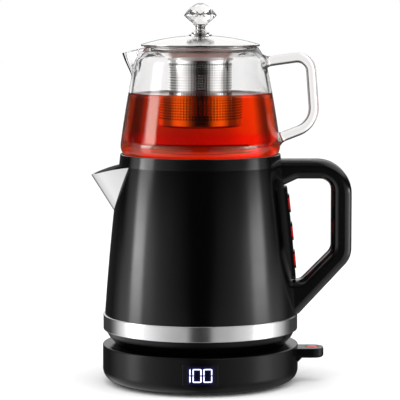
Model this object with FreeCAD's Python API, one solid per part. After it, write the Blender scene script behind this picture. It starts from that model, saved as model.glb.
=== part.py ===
import FreeCAD, Part

import math
import os

# Electric tea maker: a cordless kettle on a round powered base, with a glass teapot,
# an infuser and a lid stacked on top. Millimetres. +Z is up, the floor is z = 0 and the
# kettle's axis is the Z axis. The handles point to +X, the spouts to -X, the display to -Y.

# ---- clearances -----------------------------------------------------------------------
rest_gap = 0.1            # between pieces that lift off each other
loose_gap = 0.3           # round pieces beside each other on different bodies
trim_gap = 0.15           # round an inserted cover, window or plug
seat_gap = 0.05           # between pieces pressed or screwed together
button_gap = 0.2          # round a push button in its hole
overcut = 1.0             # of a cutting tool past what it cuts

# ---- powered base ---------------------------------------------------------------------
foot_height = 1.5
base_radius = 80.0
base_top = 31.5
base_wall = 2.5
base_lower_round = 10.0
base_edge_round = 1.0
cover_margin = 2.3        # from the base's lower rounding to its cover
cover_thickness = 2.5
cover_rim_inset = 2.5
foot_radius = 6.8
foot_margin = 8.7         # from the cover's edge to the feet's centres
foot_angle = 40.0
foot_sink = 1.0
foot_edge_round = 0.5
base_screw_count = 4
base_boss_radius = 4.5

# ---- screws ---------------------------------------------------------------------------
screw_shank_radius = 1.5
screw_head_radius = 3.0
screw_head_height = 1.8
screw_length = 12.0

# ---- base connector -------------------------------------------------------------------
plug_neck_radius = 21.8
plug_flange_radius = 25.0
plug_flange_height = 2.0
plug_radius = 14.0
plug_height = 14.0
plug_groove_inner = 7.5
plug_groove_outer = 10.5
plug_groove_depth = 10.0
plug_bore_radius = 3.0
contact_thickness = 0.8
contact_recess = 1.0
collar_inner_radius = 15.0
collar_outer_radius = 21.0
collar_height = 1.6

# ---- base electronics -----------------------------------------------------------------
board_thickness = 1.6
board_lift = 3.0
board_width = 17.0
board_inner_margin = 2.0  # from the plug's flange
board_outer_margin = 1.5  # to the screw bosses
board_post_radius = 2.0
display_width = 28.0
display_height = 19.0
display_rise = 1.3        # of its centre above the middle of the base's side
display_corner = 2.0
display_module_side = 1.5
display_module_brow = 2.0
display_module_depth = 7.0
display_module_corner = 1.0
gland_radius = 5.0
gland_bore_radius = 3.4
gland_flange_radius = 7.0
gland_flange_height = 1.8
gland_length = 10.0
gland_rise = 11.5

# ---- power button tab on the base -----------------------------------------------------
tab_overhang = 21.0
tab_width = 24.0
tab_drop = 3.5            # below the base's top
tab_height = 7.8
tab_wall = 1.9
tab_corner = 9.0
tab_upper_round = 0.8
tab_lower_round = 2.2
tab_gusset = 3.0
power_button_inset = 9.4  # from the tab's end to the button's axis
power_button_radius = 4.9
power_button_edge = 0.3
power_button_rise = 0.9
power_button_flange = 1.3
power_button_flange_height = 1.0
power_button_recess = 0.7
power_button_recess_depth = 1.1
power_button_travel = 0.7
tab_board_thickness = 1.2

# ---- kettle foot and steel band -------------------------------------------------------
kettle_floor_gap = 0.2
band_radius = 79.5
band_thickness = 1.25
band_height = 12.6
band_edge_round = 0.7
skirt_height = 12.0       # from the kettle's floor to the band
skirt_brow = 5.3
skirt_top_inset = 1.8     # each inset goes in from the one above, the first from the band
skirt_brow_inset = 2.7
skirt_foot_inset = 6.0
skirt_wall = 2.4
skirt_lip_height = 6.0

# ---- kettle body ----------------------------------------------------------------------
body_height = 121.3       # from the band to the top ring
body_bulge = 0.85         # of its wall beyond a straight cone, halfway up
shell_wall = 0.8
liner_gap = 4.0
liner_wall = 0.6
heater_plate_rise = 3.2
heater_plate_thickness = 1.6
heater_dish = 2.0
heater_dish_margin = 8.0
element_ring_radius = 42.0
element_radius = 4.0
socket_radius = 24.0
socket_depth = 13.2
socket_roof_thickness = 3.3
socket_neck_radius = 12.0
blade_radius = 8.9
blade_thickness = 0.9
blade_clearance = 2.0
centre_pin_radius = 1.4

# ---- top ring that carries the teapot -------------------------------------------------
ring_height = 9.4
ring_draft = 1.0          # of its outside, from bottom to top
ring_edge_round = 0.8
ring_land = 1.6
ring_heel_gap = 0.1
ring_seat_depth = 4.0
ring_seat_draft = 1.0
ring_seat_radius = 50.0
ring_seat_thickness = 2.4
ring_skirt_depth = 5.0
ring_skirt_wall = 1.4
ring_skirt_gap = 0.7
ring_skirt_drop = 2.0

# ---- kettle spout ---------------------------------------------------------------------
spout_reach = 22.6        # of its tip beyond the body's top edge
spout_tip_drop = 17.4     # below the ring's top
spout_root_drop = 46.4    # of the keel's end on the body, below the ring's top
spout_rim_rise = 8.2      # of its rim from the tip to the section's back
spout_rim_arch = 1.1      # of its rim above the straight line between those two
spout_depth = 38.0        # of its section, square to the keel
spout_half_width = 36.5   # of its section at that depth
spout_wall = 0.8
filter_thickness = 0.8
filter_margin = 2.0
filter_slot_width = 1.6
filter_slot_pitch = 4.0
filter_frame = 5.0

# ---- kettle handle --------------------------------------------------------------------
handle_reach = 45.0       # of its back beyond the band's seat
handle_width = 24.0
handle_drop = 4.5         # of its top below the ring's top
handle_bar = 16.4
handle_top_bar = 15.6
handle_edge_round = 6.0
handle_outer_round = 28.0
handle_elbow_round = 20.0
handle_inner_round = 10.0
handle_root_round = 8.0
handle_throat_round = 6.0
handle_foot_gap = 0.2
handle_foot_out = 2.4
handle_foot_height = 27.3
handle_root_out = 3.6
handle_throat_out = 0.8
handle_throat_height = 7.8
handle_elbow_rise = 45.8
handle_inner_elbow_rise = 6.7
handle_cover_thickness = 2.5
cap_start_out = 3.2
cap_length = 14.8
cap_width = 17.0
cap_depth = 2.0
handle_low_screw_rise = 13.3
handle_high_screw_drop = 7.9

# ---- control strip and its buttons ----------------------------------------------------
strip_low_margin = 1.2
strip_high_margin = 1.1
strip_width = 22.0
strip_proud = 2.3
strip_window_margin = 1.8
button_count = 3
button_low_margin = 15.8
button_high_margin = 13.6
button_web = 8.6
button_width = 15.0
button_corner = 2.5
button_proud = 1.0
button_travel = 0.7
button_flange = 1.2
button_flange_height = 1.1
lamp_height = 11.0
lamp_corner = 1.0
lamp_depth = 1.0
strip_board_thickness = 1.1
strip_board_margin = 1.0
switch_size = 6.0

# ---- glass teapot: heights are above the jar's bottom ---------------------------------
jar_height = 90.3
jar_radius = 64.9
jar_widest = 11.4
jar_high_radius = 54.7
jar_high = 72.4
jar_bulge = 0.65
jar_wall = 3.0
jar_floor_thickness = 3.6
jar_foot_radius = 55.0
jar_foot_bend = (5.2, 1.3)
jar_heel = (8.6, 4.9)
jar_inner_bend = (5.0, 1.6)
jar_inner_heel_rise = 1.5
jar_shoulder_radius = 53.4
jar_shoulder = 79.9
jar_shoulder_bulge = 0.3
jar_shoulder_thickening = 0.4
jar_neck_radius = 46.8
jar_mouth_radius = 39.2
jar_rim_thickness = 4.2
lip_tip_x = -64.6
lip_tip_height = 84.9
lip_tip_half_width = 2.4
lip_tip_half_height = 1.8
lip_root_x = -42.0
lip_root_height = 77.9
lip_root_half_width = 16.0
lip_root_half_height = 15.5
lip_wall = 2.4
lip_brim = 0.4
lip_cut_x = -51.0
glass_rod_radius = 4.1
rod_top = (50.0, 78.0)
rod_shoulder = (89.0, 83.5)
rod_shoulder_round = 11.3
rod_elbow = (93.2, 27.7)
rod_elbow_round = 20.0
rod_bottom = (60.0, 14.7)

# ---- infuser --------------------------------------------------------------------------
sheet = 0.6
infuser_brim_inset = 1.2  # from the jar's neck
infuser_cone_inset = 3.6  # from the jar's mouth
infuser_cone_depth = 7.3
infuser_neck_length = 3.0
basket_radius = 25.7
basket_depth = 65.9
basket_bottom_round = 2.0
gasket_height = 3.4
gasket_thickness = 2.2

# ---- lid and knob ---------------------------------------------------------------------
lid_overhang = 1.4        # beyond the jar's neck
lid_rim_height = 1.8
lid_rise = 7.0
lid_wall = 0.8
lid_skirt_inset = 2.0     # from the top of the infuser's cone
knob_foot_radius = 9.3
knob_foot_height = 1.0
knob_bead_radius = 7.2
knob_bead_inset = 1.1
knob_bead_top = 2.6
knob_waist_radius = 3.7
knob_waist_flare = 0.6
knob_waist_height = 6.0
knob_cup_radius = 6.4
knob_cup_height = 9.0
knob_thread_radius = 1.6
crystal_radius = 12.8
crystal_girdle = 1.2      # height of the widest row of flats
crystal_facets = 12
crystal_pavilion = ((9.6, 3.1), (4.7, 6.6))            # radius, depth below the widest row
crystal_crown = ((10.5, 3.1), (7.2, 6.3), (2.6, 9.2))  # radius, height above the widest row
washer_radius = 6.0
washer_thickness = 1.0


# ---- helpers --------------------------------------------------------------------------
def at(point, y=0.0):
    """A point of the XZ plane, given as (x, z)."""
    return FreeCAD.Vector(point[0], y, point[1])


def outline(start, *steps):
    """Closed face in the XZ plane. A step is an end point, or (point on the arc, end point)."""
    edges = []
    here = start
    for step in steps:
        if isinstance(step[0], tuple):
            through, end = step
            edges.append(Part.Arc(at(here), at(through), at(end)).toShape())
        else:
            end = step
            edges.append(Part.LineSegment(at(here), at(end)).toShape())
        here = end
    if here != start:
        edges.append(Part.LineSegment(at(here), at(start)).toShape())
    return Part.Face(Part.Wire(edges))


def turned(start, *steps):
    """Solid of revolution about the Z axis; its outline is given in (radius, height)."""
    return outline(start, *steps).revolve(FreeCAD.Vector(), FreeCAD.Vector(0, 0, 1), 360)


def disc(radius, low, high):
    return Part.makeCylinder(radius, high - low, FreeCAD.Vector(0, 0, low))


def ring(inner, outer, low, high):
    return disc(outer, low, high).cut(disc(inner, low - overcut, high + overcut))


def box(x0, x1, y0, y1, z0, z1):
    return Part.makeBox(x1 - x0, y1 - y0, z1 - z0, FreeCAD.Vector(x0, y0, z0))


def degrees_point(centre, radius, degrees):
    angle = math.radians(degrees)
    return (centre[0] + radius * math.cos(angle), centre[1] + radius * math.sin(angle))


def unit(start, end):
    length = math.dist(start, end)
    return ((end[0] - start[0]) / length, (end[1] - start[1]) / length)


def rounded_edges(corners, closed):
    """Edges in the XZ plane through corners (x, z, radius), each corner rounded by its radius."""
    edges = []
    count = len(corners)
    points = []
    for index, (x, z, radius) in enumerate(corners):
        corner = (x, z)
        if radius == 0:
            points.append((corner, corner, corner))
            continue
        before = unit(corner, corners[index - 1][:2])
        after = unit(corner, corners[(index + 1) % count][:2])
        half = math.acos(before[0] * after[0] + before[1] * after[1]) / 2
        reach = radius / math.tan(half)
        middle = unit((0, 0), (before[0] + after[0], before[1] + after[1]))
        depth = radius / math.sin(half) - radius
        points.append((
            (x + before[0] * reach, z + before[1] * reach),
            (x + middle[0] * depth, z + middle[1] * depth),
            (x + after[0] * reach, z + after[1] * reach),
        ))
    for index, (start, middle, end) in enumerate(points):
        if start != end:
            edges.append(Part.Arc(at(start), at(middle), at(end)).toShape())
        if closed or index < count - 1:
            following = points[(index + 1) % count][0]
            edges.append(Part.LineSegment(at(end), at(following)).toShape())
    return edges


def slab(corners, y0, y1):
    """Plate between two Y values with a rounded outline in the XZ plane."""
    face = Part.Face(Part.Wire(rounded_edges(corners, True)))
    face.translate(FreeCAD.Vector(0, y0, 0))
    return face.extrude(FreeCAD.Vector(0, y1 - y0, 0))


def rectangle(width, height, centre_z, corner):
    """Corners of an upright rounded rectangle centred on x = 0."""
    low = centre_z - height / 2
    high = centre_z + height / 2
    side = width / 2
    return [(-side, low, corner), (side, low, corner), (side, high, corner), (-side, high, corner)]


def side_prism(width, height, centre_z, corner, x0, x1):
    """Rounded prism along X, centred on y = 0."""
    prism = slab(rectangle(width, height, centre_z, corner), x0, x1)
    prism.rotate(FreeCAD.Vector(), FreeCAD.Vector(0, 0, 1), -90)
    return prism


def turned_copies(shape, count):
    """Copies evenly spaced about the Z axis, from where the shape is."""
    copies = []
    for index in range(count):
        copy = shape.copy()
        copy.rotate(FreeCAD.Vector(), FreeCAD.Vector(0, 0, 1), 360.0 * index / count)
        copies.append(copy)
    return copies


class Flank:
    """Round wall whose outline is one arc through three (radius, height) points."""

    def __init__(self, low, middle, high):
        circle = Part.Arc(at(low), at(middle), at(high)).toShape().Curve
        self.centre = (circle.Center.x, circle.Center.z)
        self.bend = circle.Radius

    def radius(self, height, inset=0.0):
        bend = self.bend - inset
        return self.centre[0] + math.sqrt(bend ** 2 - (height - self.centre[1]) ** 2)

    def point(self, height, inset=0.0):
        return (self.radius(height, inset), height)

    def step(self, start, end, inset=0.0):
        """Step of an outline that follows the wall from one height to another."""
        return self.point((start + end) / 2, inset), self.point(end, inset)

    def shell(self, low, high, inner_inset, outer_inset):
        """Ring of wall between two insets."""
        return turned(
            self.point(low, inner_inset),
            self.point(low, outer_inset),
            self.step(low, high, outer_inset),
            self.point(high, inner_inset),
            self.step(high, low, inner_inset),
        )

    def core(self, low, high, inset=0.0):
        """Everything inside the wall."""
        return turned((0, low), self.point(low, inset), self.step(low, high, inset), (0, high))


class Dome:
    """Round cap on the Z axis: part of a ball, given by its rim and the height of its top."""

    def __init__(self, rim_radius, rim_z, top_z):
        rise = top_z - rim_z
        self.bend = (rim_radius ** 2 + rise ** 2) / (2 * rise)
        self.centre_z = top_z - self.bend

    def height(self, radius, inset=0.0):
        return self.centre_z + math.sqrt((self.bend - inset) ** 2 - radius ** 2)

    def point(self, radius, inset=0.0):
        return (radius, self.height(radius, inset))

    def step(self, start, end, inset=0.0):
        """Step of an outline that follows the cap from one radius to another."""
        return self.point((start + end) / 2, inset), self.point(end, inset)


def screw(head_z):
    """Upright pan-head screw on the Z axis, whose head starts at head_z."""
    head = disc(screw_head_radius, head_z, head_z + screw_head_height)
    return head.fuse(disc(screw_shank_radius, head_z, head_z + screw_length)).removeSplitter()


def halfway(low, high, bulge):
    """Point that stands out by bulge beside the middle between two (radius, height) points."""
    return ((low[0] + high[0]) / 2 + bulge, (low[1] + high[1]) / 2)


# ---- radii of the base and the kettle ---------------------------------------------------
base_foot_radius = base_radius - base_lower_round
cover_radius = base_foot_radius - cover_margin
foot_ring_radius = cover_radius - foot_margin
board_inner_radius = plug_flange_radius + board_inner_margin
board_outer_radius = board_inner_radius + board_width
base_screw_ring_radius = board_outer_radius + board_outer_margin + base_boss_radius
tab_reach = base_radius + tab_overhang
power_button_x = tab_reach - power_button_inset
body_foot_radius = band_radius - band_thickness - seat_gap
ring_seat_wall = jar_foot_radius + jar_heel[0] + ring_heel_gap
ring_top_radius = ring_seat_wall + ring_land
body_top_radius = ring_top_radius + ring_draft
skirt_top_radius = band_radius - skirt_top_inset
skirt_brow_radius = skirt_top_radius - skirt_brow_inset
skirt_foot_radius = skirt_brow_radius - skirt_foot_inset
kettle_reach = 2 * band_radius

# ---- heights, from the floor up ---------------------------------------------------------
base_floor = foot_height
base_ceiling = base_top - base_wall
base_side_low = base_floor + base_lower_round
cover_top = base_floor + cover_thickness
display_centre_z = (base_floor + base_top) / 2 + display_rise
gland_z = base_floor + gland_rise
tab_top = base_top - tab_drop
tab_bottom = tab_top - tab_height
tab_floor = tab_bottom + tab_wall
tab_ceiling = tab_top - tab_wall
plug_top = base_top + plug_height
groove_floor = plug_top - plug_groove_depth
kettle_floor = base_top + kettle_floor_gap
socket_floor = base_top + rest_gap + collar_height + loose_gap
socket_roof = socket_floor + socket_depth
band_bottom = kettle_floor + skirt_height
band_top = band_bottom + band_height
body_bottom = band_bottom + rest_gap
heater_plate_z = band_top + heater_plate_rise
ring_bottom = band_top + body_height
ring_top = ring_bottom + ring_height
ring_seat_z = ring_top - ring_seat_depth
liner_top = ring_bottom - ring_skirt_depth
jar_bottom = ring_seat_z + rest_gap
jar_floor = jar_bottom + jar_floor_thickness
jar_top = jar_bottom + jar_height
brim_bottom = jar_top + rest_gap
brim_top = brim_bottom + sheet
infuser_cone_bottom_z = brim_bottom - infuser_cone_depth
basket_bottom = brim_bottom - basket_depth
lid_bottom = brim_top + rest_gap
lid_rim_top = lid_bottom + lid_rim_height
lid_top = lid_rim_top + lid_rise

# ---- walls that several pieces follow ---------------------------------------------------
liner_inset = shell_wall + liner_gap
liner_inner_inset = liner_inset + liner_wall
body_low = (body_foot_radius, band_top)
body_high = (body_top_radius, ring_bottom)
body_flank = Flank(body_low, halfway(body_low, body_high, body_bulge), body_high)
jar_low_point = (jar_radius, jar_bottom + jar_widest)
jar_high_point = (jar_high_radius, jar_bottom + jar_high)
jar_flank = Flank(jar_low_point, halfway(jar_low_point, jar_high_point, jar_bulge), jar_high_point)
infuser_cone_top_radius = jar_mouth_radius - infuser_cone_inset
lid_radius = jar_neck_radius + lid_overhang
lid_dome_rim = lid_radius - lid_wall
lid_skirt_radius = infuser_cone_top_radius - lid_skirt_inset
lid_cap = Dome(lid_dome_rim, lid_rim_top, lid_top)


# ---- powered base -----------------------------------------------------------------------
def tab_block(low, high, inset=0.0):
    """The tab's plan between two heights; inset moves its sides and its end in."""
    side = tab_width / 2 - inset
    reach = tab_reach - inset
    corner = tab_corner - inset
    inner = base_radius - 2 * tab_corner
    plan = [(inner, -side, 0), (reach, -side, corner), (reach, side, corner), (inner, side, 0)]
    block = slab(plan, -high, -low)
    block.rotate(FreeCAD.Vector(), FreeCAD.Vector(1, 0, 0), -90)
    return block


def at_power_button(shape):
    shape.translate(FreeCAD.Vector(power_button_x, 0, 0))
    return shape


def base_outside():
    lower_centre = (base_foot_radius, base_side_low)
    upper_centre = (base_radius - base_edge_round, base_top - base_edge_round)
    return turned(
        (0, base_floor),
        (base_foot_radius, base_floor),
        (
            degrees_point(lower_centre, base_lower_round, -45),
            degrees_point(lower_centre, base_lower_round, 0),
        ),
        (base_radius, base_top - base_edge_round),
        (
            degrees_point(upper_centre, base_edge_round, 45),
            degrees_point(upper_centre, base_edge_round, 90),
        ),
        (0, base_top),
    )


def base_inside():
    centre = (base_foot_radius, base_side_low)
    bend = base_lower_round - base_wall
    return turned(
        (0, cover_top),
        (base_foot_radius, cover_top),
        (degrees_point(centre, bend, -45), degrees_point(centre, bend, 0)),
        (base_radius - base_wall, base_ceiling),
        (0, base_ceiling),
    )


def base_tab():
    """Tab that holds the power button, with the gusset under its root."""
    tab = tab_block(tab_bottom, tab_top)
    for height, bend in ((tab_top, tab_upper_round), (tab_bottom, tab_lower_round)):
        rims = []
        for edge in tab.Edges:
            level = edge.BoundBox.ZLength < rest_gap and abs(edge.BoundBox.ZMin - height) < rest_gap
            if level and edge.BoundBox.XMax > base_radius + rest_gap:
                rims.append(edge)
        tab = tab.makeFillet(bend, rims)
    side = (tab_width - tab_gusset) / 2
    gusset = slab(
        [
            (base_radius - tab_gusset, tab_bottom - tab_gusset, 0),
            (base_radius, tab_bottom - tab_gusset, 0),
            (base_radius + tab_gusset, tab_bottom, 0),
            (base_radius - tab_gusset, tab_bottom, 0),
        ],
        -side,
        side,
    )
    return tab.fuse(gusset)


def display_prism(grow, y0, y1):
    return slab(
        rectangle(
            display_width + 2 * grow, display_height + 2 * grow, display_centre_z, display_corner + grow
        ),
        y0,
        y1,
    )


def round_base_screws(shape):
    """Copies of a shape on the Z axis, one at each screw of the base."""
    shape.translate(FreeCAD.Vector(base_screw_ring_radius, 0, 0))
    return turned_copies(shape, base_screw_count)


def base_screw_set():
    return round_base_screws(screw(base_floor))


def base_housing():
    housing = base_outside().fuse(base_tab()).cut([
        base_inside(),
        disc(cover_radius + loose_gap, 0, cover_top + rest_gap),
        disc(plug_neck_radius + trim_gap, cover_top, base_top + base_wall),
        tab_block(tab_floor, tab_ceiling, tab_wall),
        at_power_button(disc(power_button_radius + button_gap, tab_floor, tab_top + tab_wall)),
        at_power_button(disc(
            power_button_radius + power_button_recess, tab_top - power_button_recess_depth,
            tab_top + tab_wall,
        )),
        display_prism(trim_gap, -base_radius - base_wall, -base_radius / 2),
        gland_hole(),
    ])
    bosses = round_base_screws(disc(base_boss_radius, cover_top, base_ceiling))
    return housing.fuse(bosses).cut(base_screw_set()).removeSplitter()


def base_cover():
    """Underside cover, with seats for the feet and posts for the control board."""
    plate = disc(cover_radius, base_floor, cover_top)
    rim_radius = cover_radius - cover_rim_inset
    rim = ring(rim_radius - cover_rim_inset, rim_radius, cover_top, cover_top + cover_rim_inset)
    post = disc(board_post_radius, cover_top, cover_top + board_lift)
    post.translate(FreeCAD.Vector((board_inner_radius + board_outer_radius) / 2, 0, 0))
    posts = turned_copies(post, base_screw_count)
    return plate.fuse([rim] + posts).cut(base_screw_set()).cut(foot_set()).removeSplitter()


def foot_set():
    feet = []
    for angle in (foot_angle, 180 - foot_angle, 180 + foot_angle, -foot_angle):
        x, y = degrees_point((0, 0), foot_ring_radius, angle)
        foot = disc(foot_radius, 0, foot_height + foot_sink)
        foot.translate(FreeCAD.Vector(x, y, 0))
        feet.append(foot)
    return feet


def base_feet():
    rounded = []
    for foot in foot_set():
        lowest = [edge for edge in foot.Edges if edge.BoundBox.ZMax < foot_height / 2]
        rounded.append(foot.makeFillet(foot_edge_round, lowest))
    return Part.makeCompound(rounded)


def base_plug():
    flange_low = base_ceiling - plug_flange_height
    return turned(
        (plug_bore_radius, flange_low),
        (plug_flange_radius, flange_low),
        (plug_flange_radius, base_ceiling),
        (plug_neck_radius, base_ceiling),
        (plug_neck_radius, base_top),
        (plug_radius, base_top),
        (plug_radius, plug_top),
        (plug_groove_outer, plug_top),
        (plug_groove_outer, groove_floor),
        (plug_groove_inner, groove_floor),
        (plug_groove_inner, plug_top),
        (plug_bore_radius, plug_top),
    )


def base_contacts():
    high = plug_top - contact_recess
    outer = ring(plug_groove_inner, plug_groove_inner + contact_thickness, groove_floor, high)
    inner = ring(plug_bore_radius - contact_thickness, plug_bore_radius, groove_floor, high)
    return Part.makeCompound([outer, inner])


def turning_collar():
    low = base_top + rest_gap
    return ring(collar_inner_radius, collar_outer_radius, low, low + collar_height)


def control_board():
    low = cover_top + board_lift
    return ring(board_inner_radius, board_outer_radius, low, low + board_thickness)


def display_module():
    """Block of digits behind the window, as near to the round wall as its width allows."""
    width = display_width - 2 * display_module_side
    height = display_height - 2 * display_module_brow
    front = loose_gap - math.sqrt((base_radius - base_wall) ** 2 - (width / 2) ** 2)
    plan = rectangle(width, height, display_centre_z, display_module_corner)
    return slab(plan, front, front + display_module_depth)


def display_window():
    skin = ring(base_radius - base_wall, base_radius, base_floor, base_top)
    return skin.common(display_prism(0.0, -base_radius - base_wall, -base_radius / 2))


def at_gland(shape):
    """Stands a shape modelled along Z in the rear wall, along +Y."""
    shape.rotate(FreeCAD.Vector(), FreeCAD.Vector(1, 0, 0), -90)
    shape.translate(FreeCAD.Vector(0, 0, gland_z))
    return shape


def gland_hole():
    return at_gland(disc(gland_radius, base_radius - gland_length, base_radius + base_wall))


def cord_gland():
    outer_end = base_radius + gland_flange_height
    body = disc(gland_radius, outer_end - gland_length, outer_end)
    flange = disc(gland_flange_radius, base_radius, outer_end)
    rim = [edge for edge in flange.Edges if edge.BoundBox.ZMin > base_radius + rest_gap]
    flange = flange.makeChamfer(gland_flange_height / 3, rim)
    bore = disc(gland_bore_radius, 0, 2 * base_radius)
    return at_gland(body.fuse(flange).cut(bore).removeSplitter())


def power_button():
    flange_top = tab_ceiling - rest_gap
    flange_low = flange_top - power_button_flange_height
    flange_radius = power_button_radius + power_button_flange
    edge_radius = power_button_radius - power_button_edge
    crown = Dome(edge_radius, tab_top, tab_top + power_button_rise)
    return at_power_button(turned(
        (0, flange_low),
        (flange_radius, flange_low),
        (flange_radius, flange_top),
        (power_button_radius, flange_top),
        (power_button_radius, tab_top - power_button_edge),
        (edge_radius, tab_top),
        crown.step(edge_radius, 0),
    ))


def tab_board():
    plate = tab_block(tab_floor, tab_floor + tab_board_thickness, tab_wall + loose_gap)
    return plate.cut(disc(base_radius - 2 * tab_corner, 0, base_top))


def tab_switch():
    low = tab_floor + tab_board_thickness
    flange_low = tab_ceiling - rest_gap - power_button_flange_height
    high = flange_low - power_button_travel - rest_gap
    half = switch_size / 2
    return at_power_button(box(-half, half, -half, half, low, high))


# ---- kettle -----------------------------------------------------------------------------
def kettle_envelope():
    """Outside of the kettle's round body and ring, which the handle and the spout are fitted to."""
    return turned(
        (0, body_bottom),
        (body_foot_radius, body_bottom),
        body_low,
        body_flank.step(band_top, ring_bottom),
        (ring_top_radius, ring_top),
        (0, ring_top),
    )


def kettle_body():
    shell = turned(
        (body_foot_radius - shell_wall, body_bottom),
        (body_foot_radius, body_bottom),
        body_low,
        body_flank.step(band_top, ring_bottom),
        body_flank.point(ring_bottom, shell_wall),
        body_flank.step(ring_bottom, band_top, shell_wall),
    )
    half = strip_width / 2 - strip_window_margin
    window = box(
        0, kettle_reach, -half, half, strip_bottom + strip_window_margin, strip_top - strip_window_margin
    )
    return largest(shell.cut([window, spout_block(2 * spout_wall)] + handle_screw_holes()))


def kettle_liner():
    low = heater_plate_z + heater_plate_thickness
    liner = body_flank.shell(low, liner_top, liner_inner_inset, liner_inset)
    return liner.cut(spout_block(2 * spout_wall + liner_gap))


def heater_plate():
    """Bottom of the vessel, with a round dish pressed into it."""
    rim = body_flank.radius(heater_plate_z, liner_inset)
    high = heater_plate_z + heater_plate_thickness
    dish = rim - heater_dish_margin
    return turned(
        (0, heater_plate_z - heater_dish),
        (dish, heater_plate_z - heater_dish),
        (dish + heater_dish, heater_plate_z),
        (rim, heater_plate_z),
        (rim, high),
        (dish + heater_dish, high),
        (dish, high - heater_dish),
        (0, high - heater_dish),
    )


def heating_element():
    centre_z = heater_plate_z - heater_dish - element_radius - rest_gap
    return Part.makeTorus(element_ring_radius, element_radius, FreeCAD.Vector(0, 0, centre_z))


def kettle_socket():
    """Connector that stands over the base's plug, and its neck up to the heater plate."""
    cavity = plug_radius + 2 * loose_gap
    shoulder_z = socket_roof + socket_roof_thickness
    neck_top = heater_plate_z - heater_dish - rest_gap
    return turned(
        (0, socket_roof),
        (cavity, socket_roof),
        (cavity, socket_floor),
        (socket_radius, socket_floor),
        (socket_radius, shoulder_z),
        (socket_neck_radius, shoulder_z),
        (socket_neck_radius, neck_top),
        (0, neck_top),
    )


def kettle_contacts():
    low = groove_floor + blade_clearance
    blade = ring(blade_radius, blade_radius + blade_thickness, low, socket_roof)
    pin = disc(centre_pin_radius, low, socket_roof)
    return Part.makeCompound([blade, pin])


def kettle_skirt():
    """Foot shell under the band, with a lip that locates the kettle's body."""
    hole = socket_radius + trim_gap
    brow_z = band_bottom - skirt_brow
    lip_outer = body_foot_radius - shell_wall - rest_gap
    lip_inner = lip_outer - skirt_wall
    lip_top = band_bottom + skirt_lip_height
    return turned(
        (hole, kettle_floor),
        (skirt_foot_radius, kettle_floor),
        (skirt_brow_radius, brow_z),
        (skirt_top_radius, band_bottom),
        (lip_outer, band_bottom),
        (lip_outer, lip_top),
        (lip_inner, lip_top),
        (lip_inner, band_bottom),
        (skirt_brow_radius - skirt_wall, brow_z),
        (skirt_foot_radius - skirt_wall, kettle_floor + skirt_wall),
        (hole, kettle_floor + skirt_wall),
    )


def steel_band():
    band = ring(band_radius - band_thickness, band_radius, band_bottom, band_top)
    rims = [
        edge
        for edge in band.Edges
        if edge.BoundBox.XMax > band_radius - rest_gap and edge.BoundBox.ZLength < rest_gap
    ]
    return band.makeFillet(band_edge_round, rims)


def top_ring():
    """Ring that closes the double wall and carries the teapot on a narrow shelf."""
    skirt_outer = body_flank.radius(liner_top, liner_inset) - ring_skirt_gap
    skirt_inner = skirt_outer - ring_skirt_wall
    shelf_low = ring_seat_z - ring_seat_thickness
    round_centre = (ring_top_radius - ring_edge_round, ring_top - ring_edge_round)
    return turned(
        (body_top_radius, ring_bottom),
        (ring_top_radius, ring_top - ring_edge_round),
        (
            degrees_point(round_centre, ring_edge_round, 45),
            degrees_point(round_centre, ring_edge_round, 90),
        ),
        (ring_seat_wall, ring_top),
        (ring_seat_wall - ring_seat_draft, ring_seat_z),
        (ring_seat_radius, ring_seat_z),
        (ring_seat_radius, shelf_low),
        (skirt_inner, shelf_low),
        (skirt_inner, liner_top - ring_skirt_drop),
        (skirt_outer, liner_top - ring_skirt_drop),
        (skirt_outer, ring_bottom),
    )


# ---- kettle spout -----------------------------------------------------------------------
spout_tip = at((-body_top_radius - spout_reach, ring_top - spout_tip_drop))
spout_root_z = ring_top - spout_root_drop
spout_root = at((-body_flank.radius(spout_root_z), spout_root_z))
spout_keel = (spout_root - spout_tip).normalize()
spout_inward = FreeCAD.Vector(-spout_keel.z, 0, spout_keel.x)


def spout_block(inset=0.0):
    """Beak as a solid: a parabola swept along the straight keel, cut off at the arched rim."""
    nose = spout_tip + spout_inward * inset - spout_keel * spout_depth
    back = spout_tip + spout_inward * spout_depth - spout_keel * spout_depth
    side = FreeCAD.Vector(0, spout_half_width - inset, 0)
    bend = Part.BezierCurve()
    bend.setPoles([back - side, nose * 2 - back, back + side])
    section = Part.Wire([bend.toShape(), Part.makeLine(back + side, back - side)])
    length = spout_depth + (spout_root - spout_tip).Length + spout_depth
    block = Part.Face(section).extrude(spout_keel * length)
    rim_back = (spout_tip.x + spout_inward.x * spout_depth, spout_tip.z + spout_rim_rise)
    rim_middle = ((spout_tip.x + rim_back[0]) / 2, (spout_tip.z + rim_back[1]) / 2 + spout_rim_arch)
    above = outline(
        (-kettle_reach, spout_tip.z),
        (spout_tip.x, spout_tip.z),
        (rim_middle, rim_back),
        (kettle_reach, rim_back[1]),
        (kettle_reach, spout_tip.z + kettle_reach),
        (-kettle_reach, spout_tip.z + kettle_reach),
    )
    above.translate(FreeCAD.Vector(0, -kettle_reach, 0))
    return block.cut(above.extrude(FreeCAD.Vector(0, 2 * kettle_reach, 0)))


def kettle_spout():
    beak = spout_block().cut(spout_block(spout_wall))
    return largest(beak.cut(kettle_envelope()))


def spout_filter():
    """Slotted strainer inside the vessel's wall, cut to the beak's outline."""
    inner = liner_inner_inset + rest_gap
    low = spout_root_z + filter_margin
    high = liner_top - filter_margin
    plate = body_flank.shell(low, high, inner + filter_thickness, inner)
    plate = plate.common(spout_block(spout_wall))
    half = filter_slot_width / 2
    count = int(spout_half_width / filter_slot_pitch)
    slots = []
    for index in range(-count, count + 1):
        y = index * filter_slot_pitch
        slots.append(box(-kettle_reach, 0, y - half, y + half, low, high - filter_frame))
    comb = spout_block(spout_wall + filter_frame).common(slots)
    return largest(plate.cut(comb))


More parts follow.
